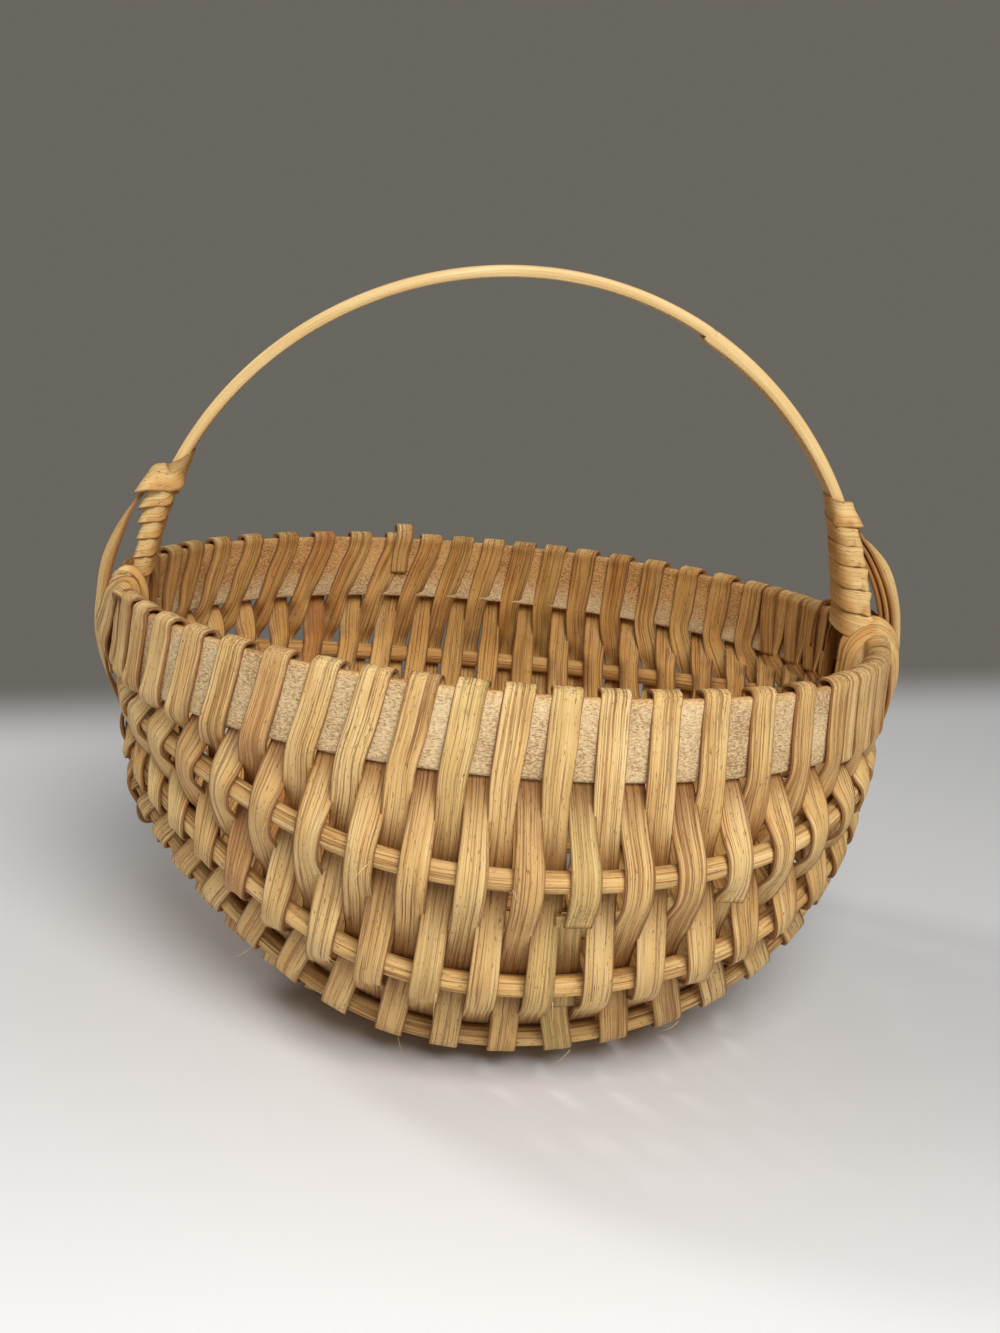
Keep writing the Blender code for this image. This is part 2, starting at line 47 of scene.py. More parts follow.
rim = {
    "halfX": 86.4, "halfY": 84.0, "height": 15.9, "thick": 2.2,
    "flare": 2.1,
    "top": 87.95,  # height of the top edge above the floor
    "steps": 360,
}
handle = {
    "width": 8.0, "thick": 2.6,
    "radius": 83.9,  # outer face of the arch
    "archCentre": 8.4,  # below the rim
    "sway": 1.5, "keelDepth": 79.5,
    "fullness": 2.4,  # 2 is an ellipse, more is squarer
    "lapStep": 0.9, "lapFrom": 62.0, "lapTo": 28.0, "steps": 420,
}
ribs = {
    "radius": 2.15, "tipRadius": 1.2, "tipGap": 0.3,
    "taper": 2.7,  # how fast the whittled ends swell to the full radius
    "endDepth": 19.5, "endStep": 6.0, "slack": 0.14, "restDepth": 84.3,
    "restFlat": 0.2, "steps": 130, "sides": 20, "tone": 0.42,
}
# The fan from the rim to the keel: distance in front, depth, spread of the rows, how they open out
# and how they drift to the left
ranks = (
    (84.0, 15.9, 75.0, 0.96, 2.8),
    (89.0, 34.0, 81.0, 0.955, 1.9),
    (77.0, 60.0, 78.0, 1.06, 2.0),
    (58.0, 79.5, 83.5, 1.08, 1.6),
    (31.0, 84.3, 85.4, 1.10, 0.4),
    (0.0, 79.5, 73.5, 1.25, 0.0),
)
weave = {
    "width": 5.9, "thick": 0.8,
    "gap": 0.1,  # between a strip and what it lies on
    "spare": 0.9,  # how much wider than its place a strip may be
    "wider": 0.11,  # how much wider each wrap is than the next, left of widerTo
    "widerTo": 12, "rows": 44, "firstFull": 8, "innerSlack": 1.5,
    "bridge": 1.6, "bridgeShare": 0.3,  # flat part at a rib, and most of the room that it takes
    "turn": (0.15, 0.85), "turnSlack": 0.5, "turnWidth": 0.45, "turnGap": 0.5,  # round a rib
    "rimGap": 1.2,  # between the wraps over the rim
    "tilt": 25.0,  # how far strips turn on edge where neighbours change sides
    "tiltTurns": 24,  # row at which the right edge stands out in place of the left
    "tiltGrows": 7,  # rows over which the tilt grows to the full
    "tuck": 0.34,  # how far rows on the left slip to the left inside the first rib, in rows
    "slant": 0.6,  # how far wraps on the left lean over on the rim, in rows
    "straightFrom": 26,  # from this row to the right they stand straight
    "straightens": 10,  # rows over which they do
    "drift": (0.65, 1.5),  # degrees that rows slip along the rim, and how many more
    "driftRows": 12,  # with this many rows from the middle
    "wander": 1.5,  # how unevenly the rows are spread along the rim, in degrees
    "wanderRows": (8, 28),  # where one swing of that starts, and how many rows it takes
    "crowding": (0.0, 1.7, 2.2, 3.0, 2.5, 0.0),  # how far rows on the right close up to their ear
    "uneven": 0.05,  # chance shift of each crossing, in rows
    "sideGap": -0.2,
    "leaving": (4, 60),  # least and greatest angle at which strips leave the rim's lower edge
    "splices": (11, 15, 19),
    "cutsInSight": (25, 31),  # rows in front that change to a new strip where it shows
    "cutAt": 3,  # section of the row where they do
    "wholeRow": 20,  # a whole row has more sections than this
    "step": 0.8, "ripple": 0.02,
}
# Painted shade on a strip by its place, below 0; the same column holds 1 where a strip is folded
shadeByPlace = {"under": -1.0, "between": -0.25, "rimFace": -0.15, "insideRim": -0.3}

keel = len(ranks) - 1
middle = weave["rows"] // 2
seat = weave["gap"] + weave["thick"] / 2
shifts = rng.uniform(-weave["uneven"], weave["uneven"], (len(ranks), weave["rows"] + 1))
keelHalf = handle["radius"] - handle["thick"] / 2
archCentre = handle["archCentre"]
keelDrop = handle["keelDepth"] - archCentre
keelPower = handle["fullness"]


def mix(start, end, share):
    return start + (end - start) * share


def within(low, value, high):
    return max(low, min(high, value))


def smooth(value, low, high):
    share = within(0.0, (value - low) / (high - low), 1.0)
    return share * share * (3 - 2 * share)


def at(x, y, depth):
    return Vector((x, y, rim["top"] - depth))


# The lines of the frame


def rimOutward(turn):
    return Vector((cos(turn) / rim["halfX"], -sin(turn) / rim["halfY"], 0)).normalized()


def rimPoint(turn, depth, inset):
    edge = at(rim["halfX"] * cos(turn), -rim["halfY"] * sin(turn), depth)
    flare = rim["flare"] * max(depth, 0) / rim["height"] * sin(turn) ** 2
    return edge + rimOutward(turn) * (flare - inset)


def keelReach(turn):
    across = abs(cos(turn)) / keelHalf
    down = abs(sin(turn)) / keelDrop
    return (across ** keelPower + down ** keelPower) ** (-1 / keelPower)


def keelHalfWidth(depth):
    share = (depth - archCentre) / keelDrop
    if share < 0:
        return sqrt(keelHalf ** 2 - (archCentre - depth) ** 2)
    return keelHalf * (1 - share ** keelPower) ** (1 / keelPower)


def rankPoint(rank, turn):
    if rank == 0:
        return rimPoint(turn, rim["height"], rim["thick"] / 2)
    if rank == keel:
        reach = keelReach(turn)
        return at(reach * cos(turn), 0, archCentre + reach * sin(turn))
    tipDepth = ribs["endDepth"] + (rank - 1) * ribs["endStep"]
    tipOut = handle["width"] / 2 + ribs["tipGap"] + ribs["tipRadius"]
    flat = ribs["restFlat"] if ranks[rank][1] == ribs["restDepth"] else 0
    aside = max(abs(cos(turn)) - flat, 0) / (1 - flat)
    rise = sqrt(1 - aside ** 2)
    if cos(turn) < 0:  # the ribs bow less on the left
        rise -= ribs["slack"] * aside * (2 * aside * rise) ** 2
    out, depth = mix(tipOut, ranks[rank][0], rise), mix(tipDepth, ranks[rank][1], rise)
    return at(keelHalfWidth(tipDepth) * cos(turn), -out, depth)


def ribRadius(turn):
    return min(ribs["radius"], ribs["tipRadius"] + ribs["taper"] * sin(turn))


# The rows of weaving. A section is centre, across, normal, half width, row, and fold above 0 with
# painted shade below 0.


def rowTurn(rank, row):
    share = (row - middle) / middle
    spread, opened, drift = ranks[rank][2:]
    swing = spread * (opened * share + (1 - opened) * share ** 3)
    reach = (row - middle) / weave["driftRows"]
    wander = weave["crowding"][rank] * reach ** 3 if row > middle or rank == 1 else 0
    if rank == 0:
        (slip, more), (first, swingRows) = weave["drift"], weave["wanderRows"]
        wave = weave["wander"] * sin(tau * (row - first) / swingRows)
        wander = reach * more + slip + wave
    return radians(90 - swing + drift * (1 - share ** 2) - wander * (1 - share ** 6))


def rowPoint(rank, row):
    return rankPoint(rank, rowTurn(rank, row))


def facing(number):
    # 1 for even rows, or sums of row and rank, and -1 for odd ones
    return 1 if number % 2 == 0 else -1


def rowStep(rank, row):
    return rowPoint(rank, row + 0.5) - rowPoint(rank, row - 0.5)


def towardsEar(row):
    # 1 on the left, -1 on the right
    return within(-1.0, (weave["tiltTurns"] - row) / weave["tiltGrows"], 1.0)


def leftward(row):
    return within(0.0, (weave["straightFrom"] - row) / weave["straightens"], 1.0)


def rowFrame(rank, row):
    here, before = rowPoint(rank, row), rowPoint(rank - 1, row)
    after = Vector((before.x, -before.y, before.z)) if rank == keel else rowPoint(rank + 1, row)
    along = (after - before).normalized()
    ribWay = rowStep(rank, row).normalized()
    if abs(ribWay.z) < 1e-6:  # the straight part that the basket rests on
        along.z = 0
        along.normalize()
    out = along.cross(ribWay).normalized()
    return here, along, out.cross(along), out, min((here - before).length, (after - here).length)


def crossing(rank, row):
    place = row
    side = facing(row + rank)
    if rank < keel:
        place += shifts[rank, row]
        if side < 0 and rank == 1:
            place -= weave["tuck"] * leftward(row)
    here, along, across, out, room = rowFrame(rank, place)
    if rank == keel:
        clear, half = handle["thick"] / 2, handle["width"] / 2 + seat
    else:
        clear = ribRadius(rowTurn(rank, row))
        half = min(weave["bridge"], weave["bridgeShare"] * room)
    left, right = rowPoint(rank, place - 0.5), rowPoint(rank, place + 0.5)
    if side < 0:
        clear += (here - (left + right) / 2).length * weave["innerSlack"]
    centre = here + out * side * (clear + seat)
    width = min(weave["width"], (right - left).dot(across) + weave["spare"])
    # painted shade where the strip passes under a rib
    foldAndShade = shadeByPlace["under"] if side < 0 else 0.0
    return [
        (centre + along * step, across, out * facing(row), width / 2, row, foldAndShade)
        for step in (-half, half)
    ]


def between(rank, row):
    start = rimEnd(row) if rank == 0 else crossing(rank, row)[1]
    end = crossing(rank + 1, row)[0]
    along = (end[0] - start[0]).normalized()
    before, after = (
        (rowPoint(rank, row + side) + rowPoint(rank + 1, row + side)) / 2 for side in (-0.5, 0.5)
    )
    out = along.cross(after - before).normalized()
    across = out.cross(along)
    lean = -radians(weave["tilt"]) * towardsEar(row)
    room = (after - before).dot(across) - weave["sideGap"]
    half = min(weave["width"], room / cos(lean)) / 2
    tilt = Matrix.Rotation(lean, 3, along)
    centre = (start[0] + end[0]) / 2
    # painted shade on the strip between the ribs
    return centre, tilt @ across, tilt @ out * facing(row), half, row, shadeByPlace["between"]


def downFront(row, last):
    path = []
    for rank in range(1, last + 1):
        path += [between(rank - 1, row)] + crossing(rank, row)
    return path


def toKeel(row):
    return downFront(row, keel - 1) + [between(keel - 1, row)]


def againstRim(turn, lean, depth=None, lift=0.0):
    angle = radians(lean)
    reach = seat + lift
    inset = (0 if cos(angle) > 0 else rim["thick"]) - reach * cos(angle)
    if depth is None:
        depth = (0 if lean <= 180 else rim["height"]) - reach * sin(angle)
    radial = rimOutward(turn)
    normal = radial * cos(angle) + upward * sin(angle)
    return rimPoint(turn, depth, inset), upward.cross(radial), normal.normalized()


def leavingLean(row, side):
    turn = rowTurn(0, row)
    least, most = weave["leaving"]
    corner = rimPoint(turn, rim["height"], rim["thick"] if side else 0)
    reach = crossing(1, row)[0][0] - corner
    lean = degrees(atan2(reach.dot(rimOutward(turn)), -reach.z))
    return 180 + within(least, lean, most) if side else 360 + within(-most, lean, -least)


def rimStep(row):
    return (rimPoint(rowTurn(0, row), 0, 0) - rimPoint(rowTurn(0, row + 1), 0, 0)).length


def rimEnd(row):
    side = 0 if row % 2 == 0 else 180
    half = min(weave["width"], rimStep(row) + weave["spare"]) / 2
    # painted shade where the strip leaves the rim's lower edge, more on the inside
    foldAndShade = shadeByPlace["under"] if side else shadeByPlace["rimFace"]
    return (*againstRim(rowTurn(0, row), leavingLean(row, side)), half, row, foldAndShade)


def overRim(row):
    left, right = rowTurn(0, row), rowTurn(0, row + 1)
    half = rim["height"] * 0.55
    top = weave["slant"] * leftward(row)
    stops = (  # share of the way to the next row, lean, depth, lift off the rim
        (top * 0.5, 0, half, 0.1),
        (top * 0.9, 4, 1.6, 0.1),
        (top + 0.02, 35, None, 0.2),
        (top + 0.04, 70, None, 0.35),
        (top + 0.07, 110, None, 0.35),
        (top + 0.10, 150, None, 0.2),
        (top + 0.14, 176, 1.8, 0.1),
        (mix(top + 0.14, 1, 0.5), 180, half, 0.1),
    )
    width = weave["width"] + max(0, weave["widerTo"] - row) * weave["wider"]
    width = min(width, 2 * rimStep(row) - weave["rimGap"])
    path = [rimEnd(row)]
    for share, lean, depth, lift in stops:
        # folded over the rim's top, with painted shade on the rim's inside
        foldAndShade = sin(radians(lean)) if lean < 170 else shadeByPlace["insideRim"]
        place = againstRim(mix(left, right, share), lean, depth, lift)
        path.append((*place, width / 2, row + share, foldAndShade))
    return path + [rimEnd(row + 1)]


def roundRib(rank, row):
    side = facing(row + rank)
    path = [between(rank - 1, row)]
    for share in (0.0, 0.25, 0.5, 0.75, 1.0):
        place = row + mix(*weave["turn"], share)
        here, _, _, out, _ = rowFrame(rank, place)
        step = rowStep(rank, place)
        across = step.normalized()
        down = across.cross(out).normalized()
        angle = pi * share
        arm = out * side * cos(angle) - down * sin(angle)
        reach = ribRadius(rowTurn(rank, place)) + seat + weave["turnSlack"]
        half = min(weave["width"], step.length - weave["turnGap"]) * weave["turnWidth"]
        path.append((here + arm * reach, across, arm * side * facing(row), half, row + share, 0))
    return path + [between(rank - 1, row + 1)]


def halfTurn(point):
    return Vector((-point.x, -point.y, point.z))


def turned(path):
    return [
        (halfTurn(centre), -halfTurn(across), halfTurn(normal), half, weave["rows"] - row, foldAndShade)
        for centre, across, normal, half, row, foldAndShade in path
    ]


def upBack(row):
    return turned(toKeel(weave["rows"] - row))[::-1]


def wholeRow(row):
    path = toKeel(row) + crossing(keel, row) + upBack(row)
    return path if row % 2 else path[::-1]


cutEnds = {  # step along the strip from the cut's place, then out, to the left, and painted shade
    "ends": ((-4.6, 0.4, 0, 0), (-3.4, 0.4, 0, -1.2)),
    "starts": ((-5.6, -0.65, 1.7, shadeByPlace["between"]), (0.2, -0.65, 1.3, shadeByPlace["between"])),
    "gap": 0.6,  # where a strip changes under the keel
}


def cutInSight(path, i, row):
    # ends the path just before its section i, and starts again under that end
    centre, across, normal, half = path[i][:4]
    along = (path[i + 1][0] - path[i - 1][0]).normalized()
    ends, starts = (
        [
            (centre + along * step + normal * facing(row) * out - Vector((left, 0, 0)),
             across, normal, half, row, foldAndShade)
            for step, out, left, foldAndShade in cutEnds[key]
        ]
        for key in ("ends", "starts")
    )
    return path[:i] + ends, starts + path[i + 1:]


def cutRow(row):
    if row < middle:
        before, after = cutRow(weave["rows"] - row)
        return turned(after)[::-1], turned(before)[::-1]
    if row in weave["cutsInSight"]:
        return cutInSight(wholeRow(row), weave["cutAt"], row)
    before, after = crossing(keel, row)
    centre = (before[0] + after[0]) / 2
    step = (after[0] - before[0]).normalized() * (cutEnds["gap"] / 2)
    end, start = ((centre + way, *before[1:]) for way in (-step, step))
    return toKeel(row) + [before, end], [start, after] + upBack(row)


def rowsBetween(first, last):
    path = cutRow(first)[1]
    for row in range(first + 1, last):
        path += overRim(row - 1) if row % 2 else turned(overRim(weave["rows"] - row))[::-1]
        path += wholeRow(row)
    return path


def splicedRows(first, last):
    return rowsBetween(first, last) + overRim(last - 1) + cutRow(last)[0]


def lastRows(first):
    row = weave["rows"] - weave["firstFull"] + 1
    path = rowsBetween(first, row)
    for rank in range(keel - 1, 0, -1):
        path += overRim(row - 1) + downFront(row, rank - 1)
        if rank == 1:
            break
        path += roundRib(rank, row) + downFront(row + 1, rank - 1)[::-1]
        row += 2
    return path + [between(0, row)] + crossing(1, row)


def shortRows():
    path = downFront(0, 1)[::-1] + overRim(0)
    row = 1
    for rank in range(2, keel):
        path += downFront(row, rank - 1) + roundRib(rank, row)
        path += downFront(row + 1, rank - 1)[::-1] + overRim(row + 1)
        row += 2
    return path + downFront(row, keel - 1)


# Meshes lofted from sections


def newObject(name, data):
    made = bpy.data.objects.new(name, data)
    bpy.context.scene.collection.objects.link(made)
    return made


def asLine(path):
    # columns: centre 0 to 2, across 3 to 5, normal 6 to 8, half width 9, row 10, fold above 0 and
    # painted shade below 0 at 11
    return np.array([(*s[0], *s[1], *s[2], *s[3:]) for s in path], float)


def throughSections(path, step, least=0.05):
    # a smooth line in even steps through the sections that are at least so far apart
    gaps = [(after[0] - before[0]).length for before, after in zip(path, path[1:])]
    data = asLine(path)[[True] + [gap > least for gap in gaps]]
    gaps = np.linalg.norm(np.diff(data[:, :3], axis=0), axis=1)
    knots = np.concatenate([[0], np.cumsum(gaps)])
    slopes = np.gradient(data, knots, axis=0)
    run = np.linspace(0, knots[-1], int(knots[-1] / step) + 1)
    i = np.clip(np.searchsorted(knots, run, side="right") - 1, 0, len(gaps) - 1)
    gap = gaps[i][:, None]
    t = ((run - knots[i]) / gaps[i])[:, None]
    here = data[i] * (1 + 2 * t) * (1 - t) ** 2 + slopes[i] * gap * t * (1 - t) ** 2
    there = data[i + 1] * t * t * (3 - 2 * t) + slopes[i + 1] * gap * t * t * (t - 1)
    return here + there


def unit(vectors):
    return vectors / np.linalg.norm(vectors, axis=1, keepdims=True)


def squared(line, closed=False):
    # normals made square to the line, and across made square to both
    centre, across, normal = line[:, :3], line[:, 3:6], line[:, 6:9]
    if closed:
        way = unit(np.roll(centre, -1, axis=0) - np.roll(centre, 1, axis=0))
    else:
        way = unit(np.gradient(centre, axis=0))
    normal = unit(normal - way * np.sum(normal * way, axis=1, keepdims=True))
    side = np.cross(normal, way)
    side *= np.sign(np.sum(side * across, axis=1, keepdims=True))
    return centre, side, normal


def stripProfile(top=11, bottom=6, dome=0.14, corner=0.2):
    # across and up, from -1 to 1, round the section of a split reed: domed above and flat below,
    # with its points closer together near the edges so that they look crisp
    over, under = (np.sin(np.linspace(*ends) * 1.41) for ends in ((-1, 1, top), (1, -1, bottom)))
    ups = 1 - dome * over ** 2 - corner * np.abs(over) ** 40
    downs = -1 + corner * np.abs(under) ** 40
    return np.vstack([
        [[-1, 0.0]], np.column_stack([over, ups]), [[1, 0.0]], np.column_stack([under, downs])
    ])


def roundProfile(sides):
    angles = np.arange(sides) * tau / sides
    return np.column_stack([np.cos(angles), np.sin(angles)])


def strandMarks(line, *marks):
    # seed, tone, rust and green of a strand of reed, one value or one for each section
    if not marks:
        return []
    foldAndShade = line[:, 11] if line.shape[1] > 11 else np.zeros(len(line))
    values = [np.zeros(len(line)) + mark for mark in (*marks, 0, 0)[:4]]
    # fold from values above 0, and painted shade from values below 0
    values += [np.clip(foldAndShade, 0, 1), np.clip(-foldAndShade, 0, 1)]
    return zip(("seed", "tone", "rust", "green", "fold", "paintedShade"), values)


bake = {"pitch": 1.12, "long": 1.02, "inset": 0.06, "start": 0.002, "cap": 0.9}


def addMaps(mesh, centre, outline, rings, edges, caps):
    # the grain's map in millimetres, and the bake's map with the strip in lanes side by side
    lengths = np.linalg.norm(np.roll(centre, -1, 0) - centre, axis=1)[:len(rings)]
    widths = np.linalg.norm(np.roll(outline, -1, 0) - outline, axis=1)
    runs, girths = (np.concatenate([[0], np.cumsum(part)]) for part in (lengths, widths))
    pitch = girths[-1] * bake["pitch"]
    lanes = max(1, round(sqrt(runs[-1] / pitch)))
    long = runs[-1] / lanes
    size = max(long * bake["long"], lanes * pitch)
    lane = np.minimum((runs[:-1] / long).astype(int), lanes - 1)[:, None, None]
    u, v = girths[edges], runs[rings]
    capMap = outline - outline.min(axis=0)
    bakeCap = capMap / size * bake["cap"] + [0, 1.0 - capMap[:, 1].max() / size]
    bakeU = (u + (lane + bake["inset"]) * pitch) / size
    bakeV = (v - lane * long) / size + bake["start"]
    for label, us, vs, ends in (("grain", u, v, capMap), ("OFBake", bakeU, bakeV, bakeCap)):
        pairs = np.stack(np.broadcast_arrays(us, vs), -1).reshape(-1, 2)
        pairs = np.vstack([pairs] + [ends[cap % len(outline)] for cap in caps])
        mesh.uv_layers.new(name=label).data.foreach_set("uv", pairs.ravel())


def loft(name, line, profile, thick, finish, marks=(), closed=False, ripple=0.0):
    centre, side, normal = squared(line, closed)
    half = line[:, 9]
    count, sides = len(centre), len(profile)
    ups = profile[:, 1] * (np.zeros((count, 1)) + np.reshape(thick, (-1, 1)) / 2)
    if ripple:
        ups = ups + rng.normal(0, ripple, sides) * (profile[:, 1] > 0)
    points = centre[:, None] + side[:, None] * (half[:, None] * profile[:, 0])[..., None]
    points = points + normal[:, None] * ups[..., None]
    # the outline's turning direction decides which way round the faces go
    way = np.roll(centre, -1, 0) - centre
    flip = np.mean(np.sum(np.cross(side, normal) * way, 1)[:-1]) > 0
    rings = np.arange(count if closed else count - 1)[:, None, None]
    rings = rings + ([1, 1, 0, 0] if flip else [0, 0, 1, 1])
    edges = np.arange(sides)[None, :, None] + [0, 1, 1, 0]
    faces = (rings % count * sides + edges % sides).reshape(-1, 4)
    first, last = np.arange(sides), np.arange(sides) + (count - 1) * sides
    caps = () if closed else (first, last[::-1]) if flip else (first[::-1], last)
    mesh = bpy.data.meshes.new(name)
    mesh.from_pydata(points.reshape(-1, 3) * metre, [], [*faces.tolist(), *caps], shade_flat=False)
    outline = np.column_stack([profile[:, 0] * np.mean(half), profile[:, 1] * np.mean(thick) / 2])
    addMaps(mesh, centre, outline, rings, edges, caps)
    # how far each point is towards the strip's edges, and whether it faces into the bowl; the
    # finishes paint shade by both
    bowl = unit(centre - [0, 0, rim["top"] + 8.0])
    away = np.sum((points - centre[:, None]) * bowl[:, None], axis=2) / max(np.mean(thick), 0.1)
    layers = {label: np.repeat(values, sides) for label, values in strandMarks(line, *marks)}
    layers["edge"] = np.tile(np.abs(profile[:, 0]) ** 8, count)
    layers["inner"] = np.clip(-2 * away, 0, 1).ravel()
    for label, values in layers.items():
        mesh.attributes.new(label, "FLOAT", "POINT").data.foreach_set("value", values)
    mesh.materials.append(finish)
    piece = newObject(name, mesh)
    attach(piece, "root")
    return piece


# Shader maths on sockets


class Signal:
    tree = None  # node tree of the finish being made

    def __init__(self, socket):
        self.socket = socket

    @classmethod
    def node(cls, kind, values=None, output=0, **settings):
        made = cls.tree.nodes.new("ShaderNode" + kind)
        for key, value in settings.items():
            setattr(made, key, value)
        plug(made, values or {})
        return cls(made.outputs[output])

    @classmethod
    def math(cls, operation, first, second):
        return cls.node("Math", {0: first, 1: second}, operation=operation)

    def __add__(self, other):
        return Signal.math("ADD", self, other)

    def __sub__(self, other):
        return Signal.math("SUBTRACT", self, other)

    def __rsub__(self, other):
        return Signal.math("SUBTRACT", other, self)

    def __mul__(self, other):
        return Signal.math("MULTIPLY", self, other)

    __radd__ = __add__

    def between(self, low, high):
        # 0 below low, 1 above high, smooth in the middle
        values = {"Value": self, "From Min": low, "From Max": high}
        return Signal.node("MapRange", values, interpolation_type="SMOOTHSTEP")


def plug(shader, values):
    for key, value in values.items():
        if isinstance(value, Signal):
            Signal.tree.links.new(value.socket, shader.inputs[key])
        else:
            shader.inputs[key].default_value = value


def newFinish(name):
    finish = bpy.data.materials.new(name)
    finish.use_nodes = True
    Signal.tree = finish.node_tree
    return finish, Signal.tree.nodes["Principled BSDF"]


def blendColour(factor, a, b, mode="MIX"):
    a, b = (v if isinstance(v, Signal) else (*v, 1) for v in (a, b))
    values = {0: factor, 6: a, 7: b}
    return Signal.node("Mix", values, 2, data_type="RGBA", blend_type=mode)


def graded(level, colours, low, high):
    # dark to body over the low range of the level, and on to pale over the high one
    colour = blendColour(level.between(*low), colours["dark"], colours["body"])
    return blendColour(level.between(*high), colour, colours["pale"])


def flatPlace(place):
    outputs = Signal.node("SeparateXYZ", {0: place}).socket.node.outputs
    return Signal(outputs[0]), Signal(outputs[1])


def grainMap():
    return flatPlace(Signal.node("UVMap", uv_map="grain"))


def mark(name):
    return Signal.node("Attribute", output=2, attribute_name=name)


def noiseAt(x, y, z, detail=2.0, rough=0.5):
    place = Signal.node("CombineXYZ", {0: x, 1: y, 2: z})
    values = {"Vector": place, "Scale": 1.0, "Detail": detail, "Roughness": rough}
    return Signal.node("TexNoise", values)


def bumpOf(height, strength, distance=0.0003):
    return Signal.node("Bump", {"Strength": strength, "Distance": distance, "Height": height})


reedFinish = {
    "dark": (0.37, 0.170, 0.045),
    "body": (0.71, 0.430, 0.150),
    "pale": (0.83, 0.580, 0.250),
    "streak": (0.90, 0.70, 0.37),
    "line": (0.22, 0.080, 0.022),
    "stain": (0.14, 0.052, 0.016),
    "paintedShade": (0.40, 0.265, 0.16),  # painted shade on the strips where they pass under others
    "bowlShade": (1.0, 0.86, 0.66),  # painted shade with warm bounced light, inside the bowl
    "green": (0.52, 0.42, 0.145),
    "rust": (0.47, 0.19, 0.060),
}


def makeReed(name, fibre=1.0, edges=1.0, strength=1.0):
    finish, shader = newFinish(name)
    x, y = grainMap()
    seed = mark("seed")
    tone = mark("tone")
    fine = noiseAt(x * (5.0 * fibre), y * 0.06, seed, 3.0, 0.65)
    lines = noiseAt(x * (2.7 * fibre), y * 0.018, seed + 7.3, 2.0)
    pores = noiseAt(x * (4.1 * fibre), y * 0.05, seed + 9.9, 1.0)
    cloud = noiseAt(x * 0.3, y * 0.05, seed + 13.1, 2.0)
    dashes = noiseAt(x * 3.6, y * 0.7, seed + 21.7, 2.0)
    crack = noiseAt(x * 2.0, y * 4.0, seed + 31.0, 2.0).between(0.56, 0.66) * mark("fold")
    # marks for painted shade: under other strips, and on faces inside the bowl
    paintedShade, inner = mark("paintedShade"), mark("inner")
    darkLines = lines.between(0.57, 0.62) * strength
    paleLines = (1 - lines).between(0.55, 0.66) * strength
    level = tone + (fine - 0.5) * (1.3 * strength) + (cloud - 0.5) * 1.2
    recessAndBowlShade = paintedShade * (1 - inner) + (1 - paintedShade) * inner * 0.4
    # darker towards the strip's edges: aged sides, and painted shade in the gaps between strips
    edgeShadeAndAge = mark("edge").between(0.25, 1.0) * (0.5 + fine * 0.5) * edges
    colour = graded(level, reedFinish, (-0.1, 0.5), (0.35, 1.0))
    layers = (  # amount, colour, and how it is laid on, if not mixed
        (paleLines * 0.35, "streak"),
        (darkLines * 0.55, "line"),
        (pores.between(0.61, 0.66) * (0.7 * strength), "line"),
        (mark("green") * lines.between(0.35, 0.6) * 0.55, "green"),
        (mark("rust") * (1 - fine).between(0.3, 0.6) * 0.75, "rust"),
        (dashes.between(0.64, 0.70) * 0.65, "stain"),
        (crack * 0.6, "stain"),
        # painted shade where strips pass under others, and a little inside the bowl
        (recessAndBowlShade * (0.65 + fine * 0.5), "paintedShade", "MULTIPLY"),
        # painted shade inside the bowl
        (inner, "bowlShade", "MULTIPLY"),
        # dark edges: aged sides and painted shade
        (edgeShadeAndAge, "line"),
    )
    for amount, tint, *mode in layers:
        colour = blendColour(amount, colour, reedFinish[tint], *mode)
    height = fine * 0.4 + paleLines * 0.4 - darkLines * 0.7 - crack * 0.6
    plug(shader, {
        "Base Color": colour,
        "Roughness": 0.5 + fine * 0.25,
        "Normal": bumpOf(height - dashes.between(0.62, 0.74) * 0.3, 0.7),
        "Specular IOR Level": 0.35,
    })
    return finish


rimFinish = {
    "dark": (0.36, 0.210, 0.095),
    "body": (0.70, 0.495, 0.260),
    "pale": (0.85, 0.680, 0.410),
    # painted shade on the faces inside the bowl
    "inside": (1.0, 0.76, 0.50),
}


def makeRimWood():
    finish, shader = newFinish("suede rim splint")
    x, y = grainMap()
    pores = noiseAt(x * 2.6, y * 2.8, 0.5, 3.0, 0.6)
    wrinkles = noiseAt(x * 4.2, y * 1.3, 3.7, 3.0, 0.6)
    cloud = noiseAt(x * 0.1, y * 0.05, 9.0, 2.0)
    level = (pores - 0.5) * 0.9 + (wrinkles - 0.5) * 1.7 + (cloud - 0.5) * 0.9
    colour = graded(level, rimFinish, (-0.35, 0.10), (0.0, 0.5))
    # painted shade on the faces inside the bowl
    colour = blendColour(mark("inner"), colour, rimFinish["inside"], "MULTIPLY")
    plug(shader, {
        "Base Color": colour,
        "Roughness": 0.78,
        "Normal": bumpOf(pores * 0.5 + wrinkles, 0.8),
        "Specular IOR Level": 0.25,
    })
    return finish


handleFinish = {
    "dark": (0.45, 0.235, 0.075),
    "body": (0.71, 0.465, 0.18),
    "pale": (0.84, 0.64, 0.315),
}


